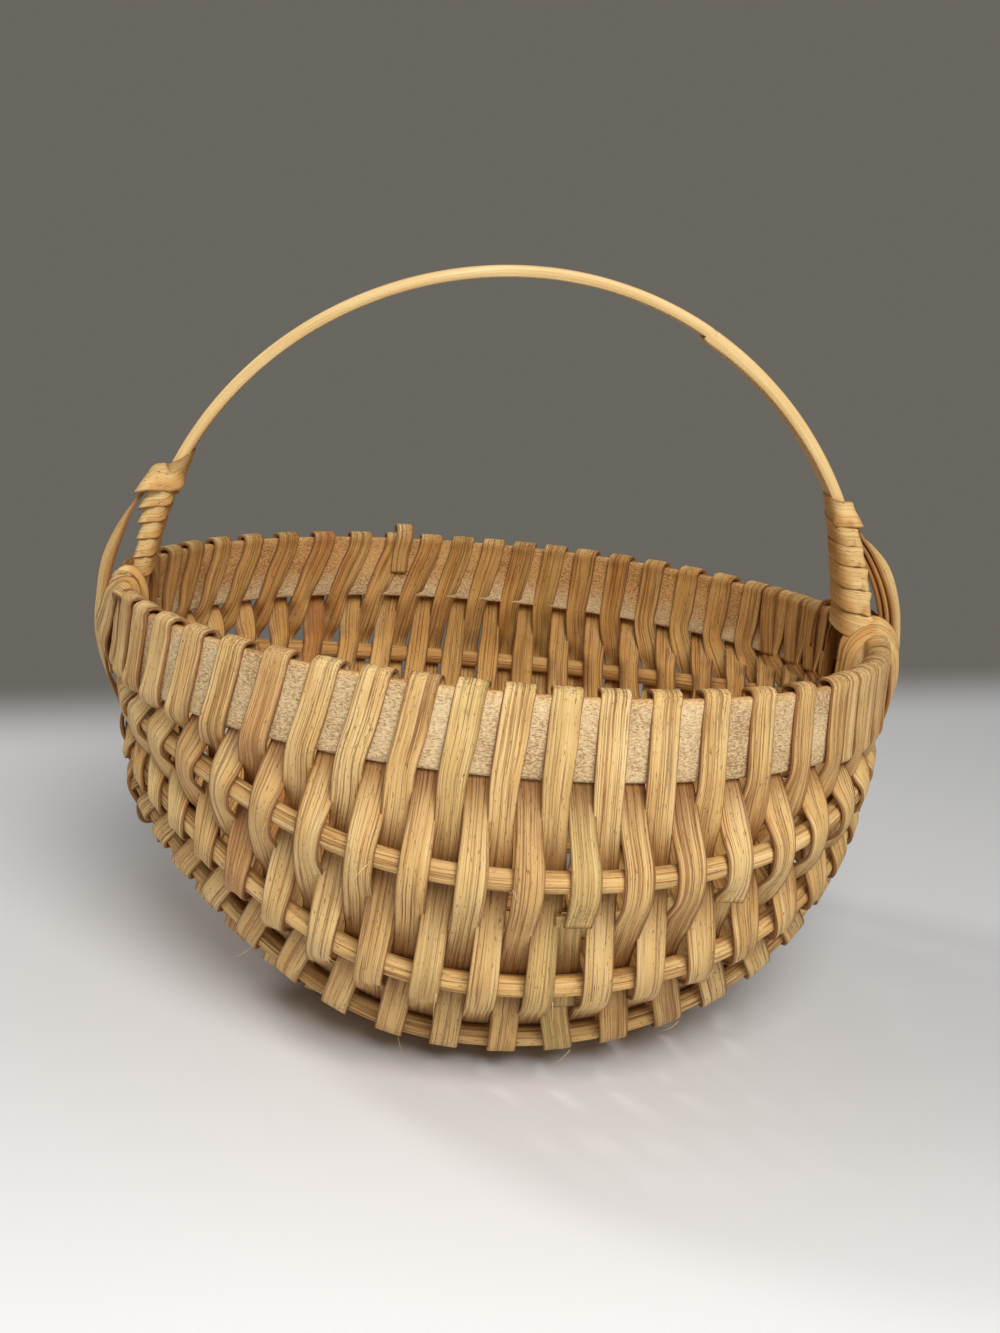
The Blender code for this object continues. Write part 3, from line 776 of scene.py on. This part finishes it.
def makeHandleWood():
    finish, shader = newFinish("honey handle splint")
    x, y = grainMap()
    fine = noiseAt(x * 3.2, y * 0.06, 1.5, 3.0, 0.6)
    lines = noiseAt(x * 1.4, y * 0.02, 4.1, 2.0)
    cloud = noiseAt(x * 0.2, y * 0.04, 8.0, 2.0)
    level = fine * 0.9 + lines * 0.6 + cloud * 0.6 - 0.5
    plug(shader, {
        "Base Color": graded(level, handleFinish, (0.05, 0.5), (0.4, 0.95)),
        "Roughness": 0.38 + fine * 0.2,
        "Normal": bumpOf(fine + lines, 0.35, 0.00015),
        "Specular IOR Level": 0.45,
    })
    return finish


flatReed = makeReed("split flat reed")
roundReed = makeReed("round rib reed", 0.8, 0.0)
wrapReed = makeReed("smooth wrapping reed", 1.3, 1.0, 0.45)
rimWood = makeRimWood()
handleWood = makeHandleWood()
print("finishes made")


# Tone of each row, at random about a middle tone, with rust and green on some rows
rowTones = {
    "spread": 0.13,
    "rust": {12: 1.0, 13: 0.4, 9: 0.5},
    "green": {20: 0.7, 24: 0.6, 25: 0.8, 21: 0.3},
}


def makeWeavers():
    rowNumbers = np.arange(weave["rows"] + 1)
    tones = [0.5 + rng.normal(0, rowTones["spread"], len(rowNumbers))]
    tones += [[rowTones[key].get(int(row), 0) for row in rowNumbers] for key in ("rust", "green")]
    cuts = sorted(weave["splices"] + tuple(weave["rows"] - row for row in weave["splices"]))
    spans = list(zip(cuts, cuts[1:]))
    paths = [splicedRows(first, last) for first, last in spans[len(spans) // 2:]]
    paths.append(lastRows(cuts[-1]))
    # the left half is the right half turned round, with the short rows at both ends
    paths = [turned(path) for path in paths[:0:-1]] + paths
    paths = [shortRows()] + paths + [turned(shortRows())]
    for number, path in enumerate(paths, 1):
        parts = [path]
        for row in weave["cutsInSight"]:
            places = [i for i, section in enumerate(path) if section[4] == row]
            if len(places) > weave["wholeRow"]:  # its first section is at the rim
                parts = cutInSight(path, places[0] + 1 + weave["cutAt"], row)
        for i, part in enumerate(parts):
            line = throughSections(part, weave["step"])
            name = f"flat_reed_weaver_{number}" + "b" * i
            rowMarks = [np.interp(line[:, 10], rowNumbers, values) for values in tones]
            piece = loft(
                name, line, stripProfile(), weave["thick"], flatReed,
                (11.7 * number, *rowMarks), ripple=weave["ripple"],
            )
            if i == 0:
                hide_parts(f"weaver_{number}")


makeWeavers()
print("weavers made")


def makeRim():
    path = []
    for i in range(rim["steps"]):
        turn = tau * i / rim["steps"]
        upper, lower = (rimPoint(turn, depth, rim["thick"] / 2) for depth in (0, rim["height"]))
        rise = upper - lower
        path.append(((upper + lower) / 2, rise.normalized(), rimOutward(turn), rise.length / 2))
    profile = stripProfile(13, 13, 0.06, 0.3)
    line = asLine(path)
    piece = loft("rim_splint", line, profile, rim["thick"], rimWood, closed=True)
    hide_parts("rim_hoop")


makeRim()


def hoopLine(turn):
    reach = keelHalf if sin(turn) >= 0 else keelReach(turn)
    sway = handle["sway"] * max(sin(turn), 0) ** 4
    return at(reach * cos(turn) + sway, 0, archCentre - reach * sin(turn))


def makeHandle():
    path, thicks = [], []
    stepEnds = [handle["lapFrom"] + 0.02, handle["lapFrom"] + 0.25]
    for angle in np.sort(np.append(np.arange(handle["steps"]) * 360 / handle["steps"], stepEnds)):
        turn = radians(angle)
        along = hoopLine(turn + 0.001) - hoopLine(turn - 0.001)
        normal = backward.cross(along).normalized()
        share = (angle - handle["lapTo"]) / (handle["lapFrom"] + 0.1 - handle["lapTo"])
        extra = handle["lapStep"] * share if 0 < share < 1 else 0
        centre = hoopLine(turn) - normal * extra / 2
        path.append((centre, backward, normal, handle["width"] / 2))
        thicks.append(handle["thick"] + extra)
    profile = stripProfile(11, 11, 0.1, 0.3)
    line, thicks = asLine(path), np.array(thicks)
    piece = loft("handle_splint", line, profile, thicks, handleWood, closed=True)
    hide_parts("handle_hoop")


makeHandle()


def makeRibs():
    profile = roundProfile(ribs["sides"])
    turns = [pi * i / ribs["steps"] for i in range(ribs["steps"] + 1)]
    for rank in range(1, keel):
        for where, place, out, seed in (("front", Vector, -1, 10), ("back", halfTurn, 1, 20)):
            line = asLine([
                (place(rankPoint(rank, turn)), upward, (0.02, out, 0.3), ribRadius(turn))
                for turn in turns
            ])
            marks = (5.3 * (seed + rank), ribs["tone"] + 0.05 * rng.normal())
            name = f"round_rib_{where}_{rank}"
            piece = loft(name, line, profile, line[:, 9] * 2, roundReed, marks)
            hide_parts(f"rib_{where}_{rank}")


makeRibs()
print("frame made")


# The ears: handle wraps, the braces that they hold, and the reed over the rim


flatProfile = stripProfile(9, 5)
reedThick = 0.8
earStep = 0.7


def earStrip(name, path, seed, tone, finish=flatReed, profile=flatProfile):
    line = throughSections(path, earStep)
    return loft(name, line, profile, reedThick, finish, (8.9 * seed, tone))


def mirrored(path, flip=(-1, 1, 1)):
    flip = Vector(flip)
    return [(c * flip, a * flip, n * flip, *rest) for c, a, n, *rest in path]


def toBack(path):
    return mirrored(path, (1, -1, 1))


def archFrame(height):
    turn = asin((height + archCentre) / keelHalf)
    out = Vector((cos(turn), 0, sin(turn)))
    up = Vector((-sin(turn), 0, cos(turn)))
    return out * keelHalf + at(0, 0, archCentre), up, out


wraps = {
    # closer is how much the turns close up, spread thickens the wrapped part, and as many turns as
    # held at the top reach out to the brace and drop there
    "left": {
        "rise": 24.2, "closer": 0.05, "spread": 0.3, "held": 3.6, "reach": 2.7, "drop": 4.8,
    },
    "right": {
        "rise": 27.2, "closer": 0.25, "spread": 3.2, "held": 1.6, "reach": 0.5, "drop": 1.1,
    },
    "turns": 5.6, "start": 1.2, "thick": 0.6, "clear": 0.25,
    "overlap": -0.05,
    "front": 0.8,  # how much more of a turn's rise lies in front
    "tilt": 8.0,  # the lower edge of each turn stands out
    "heldTilt": 4.0, "heldFrom": 0.5, "heldPower": 1.4,
    "topGrows": 2.2,  # extra width of the last turn
    "lastTurn": (1.2, 0.85),  # turns from the end between which it widens
    "sideSpread": 0.8, "topReach": 0.75, "squareness": 3.0, "points": 48, "tone": 0.62,
}


def power(value, exponent):
    return copysign(abs(value) ** exponent, value)


def wayAt(points, i, reach=1):
    return points[min(i + reach, len(points) - 1)] - points[max(i - reach, 0)]


def wrapPath(side):
    own = wraps[side]
    turns = wraps["turns"]
    reach = wraps["thick"] / 2 + weave["gap"] + wraps["clear"]
    square = 2 / wraps["squareness"]
    places, leans, halves = [], [], []
    for i in range(round(turns * wraps["points"]) + 1):
        done = i / wraps["points"]
        share = done / turns
        pitch = own["rise"] / turns * (1 + own["closer"] * (1 - 2 * share))
        held = (done - turns + own["held"] + wraps["heldFrom"]) / own["held"]
        held = within(0.0, held, 1.0) ** wraps["heldPower"]
        last = smooth(done, *(turns - ends for ends in wraps["lastTurn"]))
        ahead, beside = cos(tau * done), sin(tau * done)
        spread = own["spread"] * (1 - share ** 2)
        half = handle["width"] / 2 + reach + spread * wraps["sideSpread"]
        inner = handle["thick"] / 2 + reach + spread
        outer = handle["thick"] / 2 + reach + held * own["reach"] + last * wraps["topReach"]
        away = power(ahead, square) * (outer if ahead > 0 else inner)
        aside = -power(beside, square) * half
        height = wraps["start"] + own["rise"] * share * (1 + own["closer"] * (1 - share))
        height += last * wraps["topGrows"] / 2 - wraps["front"] * pitch / tau * ahead
        height -= own["drop"] * held * (0.5 + 0.5 * ahead)
        centre, up, out = archFrame(height)
        sideways = Vector((0, power(beside, 2 - square) / half, 0))
        lean = (out * power(ahead, 2 - square) / max(inner, 0.1) - sideways).normalized()
        tilt = radians(wraps["tilt"] + wraps["heldTilt"] * max(0.0, ahead) * held)
        places.append(centre + out * away + Vector((0, aside, 0)))
        leans.append(lean * cos(tilt) + up * sin(tilt))
        halves.append((pitch + wraps["overlap"] + last * wraps["topGrows"]) / 2)
    path = []
    for i, (place, lean, half) in enumerate(zip(places, leans, halves)):
        along = wayAt(places, i, 2)
        across = lean.cross(along).normalized()
        path.append((place, across, along.cross(across).normalized(), half, 0, 0))
    return path


braces = {
    # distance out and height above the rim along each brace
    "left": (
        (81.2, 20.2), (83.7, 17.0), (87.6, 9.3), (89.9, 2.5), (90.9, -6), (90.9, -14),
        (89.0, -23), (84.8, -31),
    ),
    "right": (
        (77.6, 25.4), (79.8, 22.6), (83.2, 19.5), (86.5, 15.5), (90.2, 7.5), (91.8, -1.3),
        (92.0, -11), (89.6, -22), (84.4, -29),
    ),
    "width": 5.0,
    "twist": 34.0,  # how far its face turns to the front where it bows out
    "twists": ((0.1, 0.4), (0.7, 1.0)),  # where it does, and where it turns back
    "layers": {"left": (0.0,), "right": (0.0, 1.5, 3.0)},  # how far in each layer lies
}


def bracePath(side, layer):
    inward = braces["layers"][side][layer]
    points = [at(out - inward, 0, -rise) for out, rise in braces[side]]
    path = []
    for i, point in enumerate(points):
        along = wayAt(points, i).normalized()
        share = i / (len(points) - 1)
        there, back = (smooth(share, *ends) for ends in braces["twists"])
        turn = Matrix.Rotation(radians(braces["twist"] * there * (1 - back)), 3, along)
        normal = (turn @ along.cross(backward)).normalized()
        # painted shade, deeper on the layers further in
        path.append((point, turn @ backward, normal, braces["width"] / 2, 0, -layer / 2))
    return path


def rimStops(stops, width):
    # sections from degrees round the rim, lean, depth and lift
    path = []
    for place, lean, depth, lift in stops:
        fold = max(0.0, sin(radians(lean))) if lean < 175 else 0
        path.append((*againstRim(radians(place), lean, depth, lift), width / 2, 0, fold))
    return path


lashing = {
    "left": {"first": 6.8, "step": 4.2, "width": 5.3},  # angles from the handle
    "right": {"first": 8.0, "step": 2.9, "width": 4.3},
    "turns": 2,
    "pull": 2.0,  # the foot of each turn pulls in towards the handle
    "turn": (  # share of the step, lean, depth and lift
        (-0.04, 335, None, 0), (0.02, 0, rim["height"] * 0.75, 0),
        (0.10, 0, rim["height"] * 0.4, 0.1), (0.16, 4, 1.6, 0.1), (0.20, 35, None, 0.25),
        (0.26, 70, None, 0.45), (0.34, 110, None, 0.45), (0.42, 150, None, 0.25),
        (0.50, 178, 1.8, 0.1), (0.64, 180, rim["height"] * 0.5, 0),
        (0.76, 180, rim["height"] * 0.85, 0), (0.84, 215, None, 0), (0.90, 260, None, 0),
    ),
    "foot": (  # up across the handle's foot on the outside, and down inside behind it
        (3.6, 330, None, 0), (2.4, 0, 13, 0), (0, 0, 8.5, 0), (-3.6, 0, 3.4, 0.1),
        (-5.6, 35, None, 0.25), (-6.4, 70, None, 0.45), (-6.9, 110, None, 0.45),
        (-7.2, 150, None, 0.25), (-7.3, 180, 3, 0.1), (-7.4, 180, 12, 0),
        (-7.6, 215, None, 0), (-7.9, 260, None, 0),
    ),
}


def lashTurn(start, step):
    high = rim["height"]
    pull = copysign(lashing["pull"], start)
    stops = []
    for share, lean, depth, lift in lashing["turn"]:
        foot = pull * (depth or high) / high if lean in (0, 335) else 0
        stops.append((start - step * share - foot, lean, depth, lift))
    return stops


def lashingPath(side):
    first, step, width = (lashing[side][k] for k in ("first", "step", "width"))
    stops = []
    for i in range(lashing["turns"] - 1, -1, -1):
        stops += lashTurn(first + i * step, step)
    stops += lashing["foot"]
    for i in range(1, lashing["turns"]):
        stops += lashTurn(-first - (i - 0.1) * step, step)
    return rimStops(stops, width)


def laidAlong(way, place, width):
    # a strip laid along a way, with place giving where each of its points comes
    places = [place(Vector(point)) for point, _ in way]
    path = []
    for i, (here, (_, face)) in enumerate(zip(places, way)):
        across = wayAt(places, i).cross(Vector(face)).normalized()
        path.append((here, across, Vector(face), width / 2, 0, 0))
    return path


bands = {  # three over each foot of the handle, from inside the rim and down outside
    "width": {"left": 5.4, "right": 7.8},
    "way": (  # place, then face
        ((79.2, -8.8, -14.5), (-0.9, -0.5, 0.0)), ((79.3, -8.8, -6.5), (-0.85, -0.55, 0.1)),
        ((80.6, -8.4, 0.0), (-0.6, -0.7, 0.4)), ((84.2, -7.8, 2.4), (0.0, -0.72, 0.7)),
        ((87.8, -7.5, 0.2), (0.55, -0.65, 0.5)), ((89.6, -6.6, -5.5), (0.8, -0.6, 0.1)),
        ((90.0, -4.8, -12.0), (0.9, -0.4, 0.0)), ((89.2, -2.6, -18.0), (0.95, -0.3, 0.0)),
    ),
    "centre": 84.2,
    "reach": {"left": 0.6, "right": 1.0},  # how far its legs stand apart
    "lift": {"left": -1.6, "right": 0.0},
    "layers": (0, 0.7, 1.4),
    "step": (0.1, -1.7, -1.6),  # from the upper band to the one under it, for a layer of 1
    "narrower": 2,
}


def bandPath(side, layer):
    centre, reach = bands["centre"], bands["reach"][side]
    base = at(centre, 0, -bands["lift"][side]) + Vector(bands["step"]) * layer
    return laidAlong(
        bands["way"],
        lambda point: Vector(((point.x - centre) * reach, point.y, point.z)) + base,
        bands["width"][side] - bands["narrower"] * layer,
    )


shawl = {  # the strip that slants down over the ear
    "width": 6.4,
    "way": (
        ((79.5, -27.0, -9.0), (-0.9, -0.35, 0.0)), ((80.1, -26.5, -0.6), (-0.65, -0.3, 0.6)),
        ((82.2, -25.2, 1.7), (0.1, -0.4, 0.9)), ((84.9, -22.0, -0.8), (0.6, -0.65, 0.45)),
        ((87.0, -17.0, -6.5), (0.75, -0.65, 0.1)), ((88.8, -11.0, -12.5), (0.8, -0.6, 0.0)),
        ((88.2, -5.6, -17.0), (0.9, -0.4, 0.0)), ((86.4, -0.6, -20.5), (0.95, -0.2, -0.2)),
    ),
    "backOn": "right",
}


def shawlPath(side):
    path = laidAlong(shawl["way"], lambda point: point + at(0, 0, 0), shawl["width"])
    return toBack(path) if side == shawl["backOn"] else path


earFill = {  # rows that close the fan of rib tips
    "rows": 4, "width": 5.0, "spare": 0.7,
    "from": (3.0, 1.2, 1.4, 1.4, 1.8, 22.5),  # where on each rank, in degrees
    "to": (13.8, 8.0, 13.2, 15.5, 23.0, 34.0),
    "startDepths": (9.0, 14.5),
    "startIn": 1.0, "bridge": 0.8,
    "foldAndShade": (-0.8, -0.6, -0.1),  # painted shade at the start inside the rim, under the ribs and over them
}


def fillPath(number):
    # from inside the front rim, over and under the rib tips and round the hoop to the back rim
    share = (number + 0.5) / earFill["rows"]
    lows, highs = ([radians(v) for v in earFill[k]] for k in ("from", "to"))
    turns = [mix(low, high, share) for low, high in zip(lows, highs)]
    points = [rankPoint(rank, turn) for rank, turn in enumerate(turns)]
    # painted shade at the start, under the ribs and over them
    startShade, underShade, overShade = earFill["foldAndShade"]
    path = []
    for rank, (here, turn) in enumerate(zip(points, turns)):
        side = facing(rank + number)
        room = (rankPoint(rank, highs[rank]) - rankPoint(rank, lows[rank])).length
        half = min(earFill["width"], room / earFill["rows"] + earFill["spare"]) / 2
        if rank == 0:
            out = rimOutward(turn)
            for depth in earFill["startDepths"]:
                place = rimPoint(turn, depth, rim["thick"] + seat + earFill["startIn"])
                path.append((place, out.cross(-upward), out, half, 0, startShade))
            continue
        way = (rankPoint(rank, turn + 0.02) - rankPoint(rank, turn - 0.02)).normalized()
        if rank == keel:
            along = backward
            clear, reach = handle["thick"] / 2, handle["width"] / 2 + seat
        else:
            along = (points[rank + 1] - points[rank - 1]).normalized()
            clear, reach = ribRadius(turn), earFill["bridge"]
        out = way.cross(along).normalized()
        for step in (-reach, reach):
            place = here + out * side * (clear + seat) + along * step
            foldAndShade = underShade if side < 0 else overShade
            path.append((place, out.cross(along), out, half, 0, foldAndShade))
    return path + toBack(path[-3::-1])


doubled = {  # wraps added between the rows
    "rows": {
        ("right", "front"): (37, 39, 41, 43, 45, 46.5),
        ("right", "back"): (1, 3, 5),
    },
    "width": 4.6, "slant": 3.2,
    "stops": (  # share of the slant, lean, depth and lift
        (0.6, 300, None, 0), (0.6, 335, None, 0), (0.5, 0, 14.6, 0), (0, 0, 8, 0),
        (-0.4, 4, 1.8, 0.05), (-0.5, 35, None, 0.15), (-0.55, 70, None, 0.4),
        (-0.6, 110, None, 0.7), (-0.65, 150, None, 0.9), (-0.7, 178, 2.5, 1.05),
        (-0.6, 180, 9, 1), (-0.5, 180, 15.6, 0.4),
    ),
}
looseTurn = {  # a turn at the back that stands above the rim
    "place": 253.5,
    "stops": (
        (0, 180, 9, 0.9), (0, 180, 3, 1), (0.4, 140, None, 1.7), (0.6, 100, None, 2.7),
        (0.8, 75, None, 2.8), (1, 40, None, 1.9), (1, 0, 3, 1), (1, 0, 8, 0.9),
    ),
}


def addedTurn(place, slant, stops):
    stops = [(place + slant * share, *rest) for share, *rest in stops]
    return rimStops(stops, doubled["width"])


def doubledPath(row):
    slant = weave["slant"] * leftward(row) * doubled["slant"]
    return addedTurn(degrees(rowTurn(0, row)), slant, doubled["stops"])


def makeEar(side, number):
    turn = mirrored if side == "left" else list
    line = asLine(turn(wrapPath(side)))
    piece = loft(
        f"handle_wrap_reed_{side}", line, stripProfile(11, 5, 0.35, 0.2), wraps["thick"],
        wrapReed, (8.9 * number, wraps["tone"]),
    )
    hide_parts(f"handle_wrap_{side}")
    for layer in range(len(braces["layers"][side])):
        path = turn(bracePath(side, layer))
        name = f"ear_brace_reed_{side}_{layer + 1}"
        # the layers further in are painted darker, as shade
        piece = earStrip(name, path, 3 + number + layer, 0.6 - 0.2 * layer, wrapReed)
        if layer == 0:
            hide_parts(f"ear_brace_{side}")
    piece = earStrip(f"ear_lashing_reed_{side}", turn(lashingPath(side)), 7 + number, 0.55)
    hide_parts(f"ear_lashing_{side}")
    for back, where in enumerate(("front", "back")):
        for under, layer in enumerate(bands["layers"], 1):
            path = bandPath(side, layer)
            path = turn(toBack(path) if back else path)
            seed = 10 + number + 2 * back + 4 * layer
            name = f"ear_band_reed_{side}_{where}_{under}"
            earStrip(name, path, seed, 0.6, wrapReed, stripProfile(13, 5))
    for row in range(earFill["rows"]):
        name = f"ear_fill_reed_{side}_{row + 1}"
        earStrip(name, turn(fillPath(row)), 60 + 4 * number + row, 0.5)
    earStrip(f"ear_shawl_reed_{side}", turn(shawlPath(side)), 30 + number, 0.62)


def makeAddedTurns():
    for (side, where), rows in doubled["rows"].items():
        for row in rows:
            path, seed = doubledPath(row), row
            if where == "back":
                path, seed = turned(path), row + 50
            earStrip(f"ear_wrap_reed_{side}_{where}_{row}", path, seed, 0.5)
    path = addedTurn(looseTurn["place"], 1.0, looseTurn["stops"])
    earStrip("loose_turn", path, 77, 0.9)


strays = {
    "thick": 0.13,
    "length": (3.0, 7.0),
    "bend": 0.25, "bow": 0.12, "clear": 1.4, "steps": 12,
    "places": (  # rank and row that each fibre starts from
        (1, 13), (1, 17), (1, 22), (2, 16), (2, 20), (2, 24), (2, 30), (3, 13), (3, 19), (3, 25),
        (3, 29),
    ),
}


def makeStrays():
    for number, (rank, row) in enumerate(strays["places"], 1):
        start, _, _, out, _ = rowFrame(rank, row + 0.45)
        start = start + out * (ribRadius(rowTurn(rank, row)) + strays["clear"])
        length = rng.uniform(*strays["length"])
        way = Vector((rng.uniform(-1, 1), 0, rng.uniform(-1, -0.2))).normalized()
        bend = Vector((rng.uniform(-1, 1), 0, rng.uniform(-1, 1))) * strays["bend"]
        across = out.cross(way).normalized()
        path = []
        for i in range(strays["steps"] + 1):
            share = i / strays["steps"]
            bow = out * strays["bow"] * sin(pi * share)
            place = start + (way * share + bend * share ** 2 + bow) * length
            path.append((place, across, out, strays["thick"] / 2 * (1.2 - share), 0, 0))
        line = asLine(path)
        loft(
            f"stray_fibre_{number}", line, roundProfile(5), line[:, 9] * 2, wrapReed,
            (8.9 * (79 + number), 0.9),
        )


for number, side in enumerate(("left", "right"), 1):
    makeEar(side, number)
makeAddedTurns()
makeStrays()
print("ears made")


view = {  # the photograph's viewpoint, found by fitting the rim, the arch and the rows
    "distance": 389.6, "elevation": 13.073, "azimuth": -4.348, "roll": 5.594,
    "right": 0.1355, "up": -14.462,
    "focal": 1701.72,  # in pixels of the photo
    "high": 1333,
}


def lookThrough():
    azimuth, elevation, roll = (radians(view[k]) for k in ("azimuth", "elevation", "roll"))
    turn = Matrix.Rotation(azimuth, 4, "Z") @ Matrix.Rotation(pi / 2 - elevation, 4, "X")
    place = turn @ Vector((view["right"], view["up"], view["distance"])) + at(0, 0, 0)
    lens = bpy.data.cameras.new("basket view")
    lens.lens = view["focal"] * lens.sensor_width / view["high"]
    lens.shift_x, lens.shift_y = 1 / view["high"], -0.5 / view["high"]
    camera = newObject("basket view", lens)
    camera.matrix_world = Matrix.Translation(place * metre) @ turn @ Matrix.Rotation(roll, 4, "Z")
    bpy.context.scene.camera = camera


lookThrough()

studio = {
    "table": (0.73, 0.725, 0.72),
    "paintedLightNear": (0.97, 0.965, 0.96),  # painted light: the table is paler towards the camera
    "mottle": (0.55, 0.55, 0.56),
    "reach": 4.0,
    "edge": ((-0.152, 0.1785), (0.253, 0.351)),  # two points on the table's far edge
    "blur": 0.045, "world": 0.17,
    "wall": (0.143, 0.132, 0.116),
    "lamps": (  # name, place, aimed at, size, watts
        ("front light", (0.12, -0.80, 0.78), (0, 0, 0.05), 0.6, 11.2),
        ("left window", (-0.70, 0.30, 0.75), (0, 0, 0.05), 0.2, 2.4),
    ),
}


def makeTable():
    finish, shader = newFinish("pale table")
    (x1, y1), (x2, y2) = studio["edge"]
    long = hypot(x2 - x1, y2 - y1)
    x, y = flatPlace(Signal.node("TexCoord", output=3))
    past = (y - y1) * ((x2 - x1) / long) - (x - x1) * ((y2 - y1) / long)
    mottle = noiseAt(x * 9, y * 9, 0.0, 3.0) - 0.5
    # painted light, paler towards the camera
    colour = blendColour(y.between(-0.02, -0.20), studio["table"], studio["paintedLightNear"])
    plug(shader, {
        "Base Color": blendColour(0.06 + mottle * 0.1, colour, studio["mottle"]),
        "Roughness": 0.55,
        "Specular IOR Level": 0.15,
        "Alpha": 1 - past.between(-studio["blur"], studio["blur"]),
    })
    mesh = bpy.data.meshes.new("table top")
    far = studio["reach"]
    corners = [(-far, -far, 0), (far, -far, 0), (far, far, 0), (-far, far, 0)]
    mesh.from_pydata(corners, [], [(0, 1, 2, 3)])
    mesh.materials.append(finish)
    table = newObject("table_top", mesh)


def makeLamp(name, place, aim, size, watts):
    lamp = bpy.data.lights.new(name, "AREA")
    lamp.shape, lamp.size, lamp.energy = "DISK", size, watts
    holder = newObject(name, lamp)
    holder.location = place
    holder.rotation_euler = (Vector(place) - Vector(aim)).to_track_quat("Z", "Y").to_euler()


def makeAir():
    # white light, and the wall's colour where it is seen
    world = bpy.data.worlds.new("studio air")
    world.use_nodes = True
    Signal.tree = world.node_tree
    rays = ("Is Camera Ray", "Is Glossy Ray", "Is Transmission Ray")
    camera, glossy, through = (Signal.node("LightPath", output=name) for name in rays)
    seen = Signal.math("MINIMUM", camera + glossy + through, 1)
    plug(world.node_tree.nodes["Background"], {
        "Color": blendColour(seen, (1, 1, 1), studio["wall"]),
        "Strength": studio["world"] + seen * (1 - studio["world"]),
    })
    bpy.context.scene.world = world


makeTable()
for settings in studio["lamps"]:
    makeLamp(*settings)
makeAir()
bpy.context.scene.view_settings.view_transform = "Standard"
print("studio made")
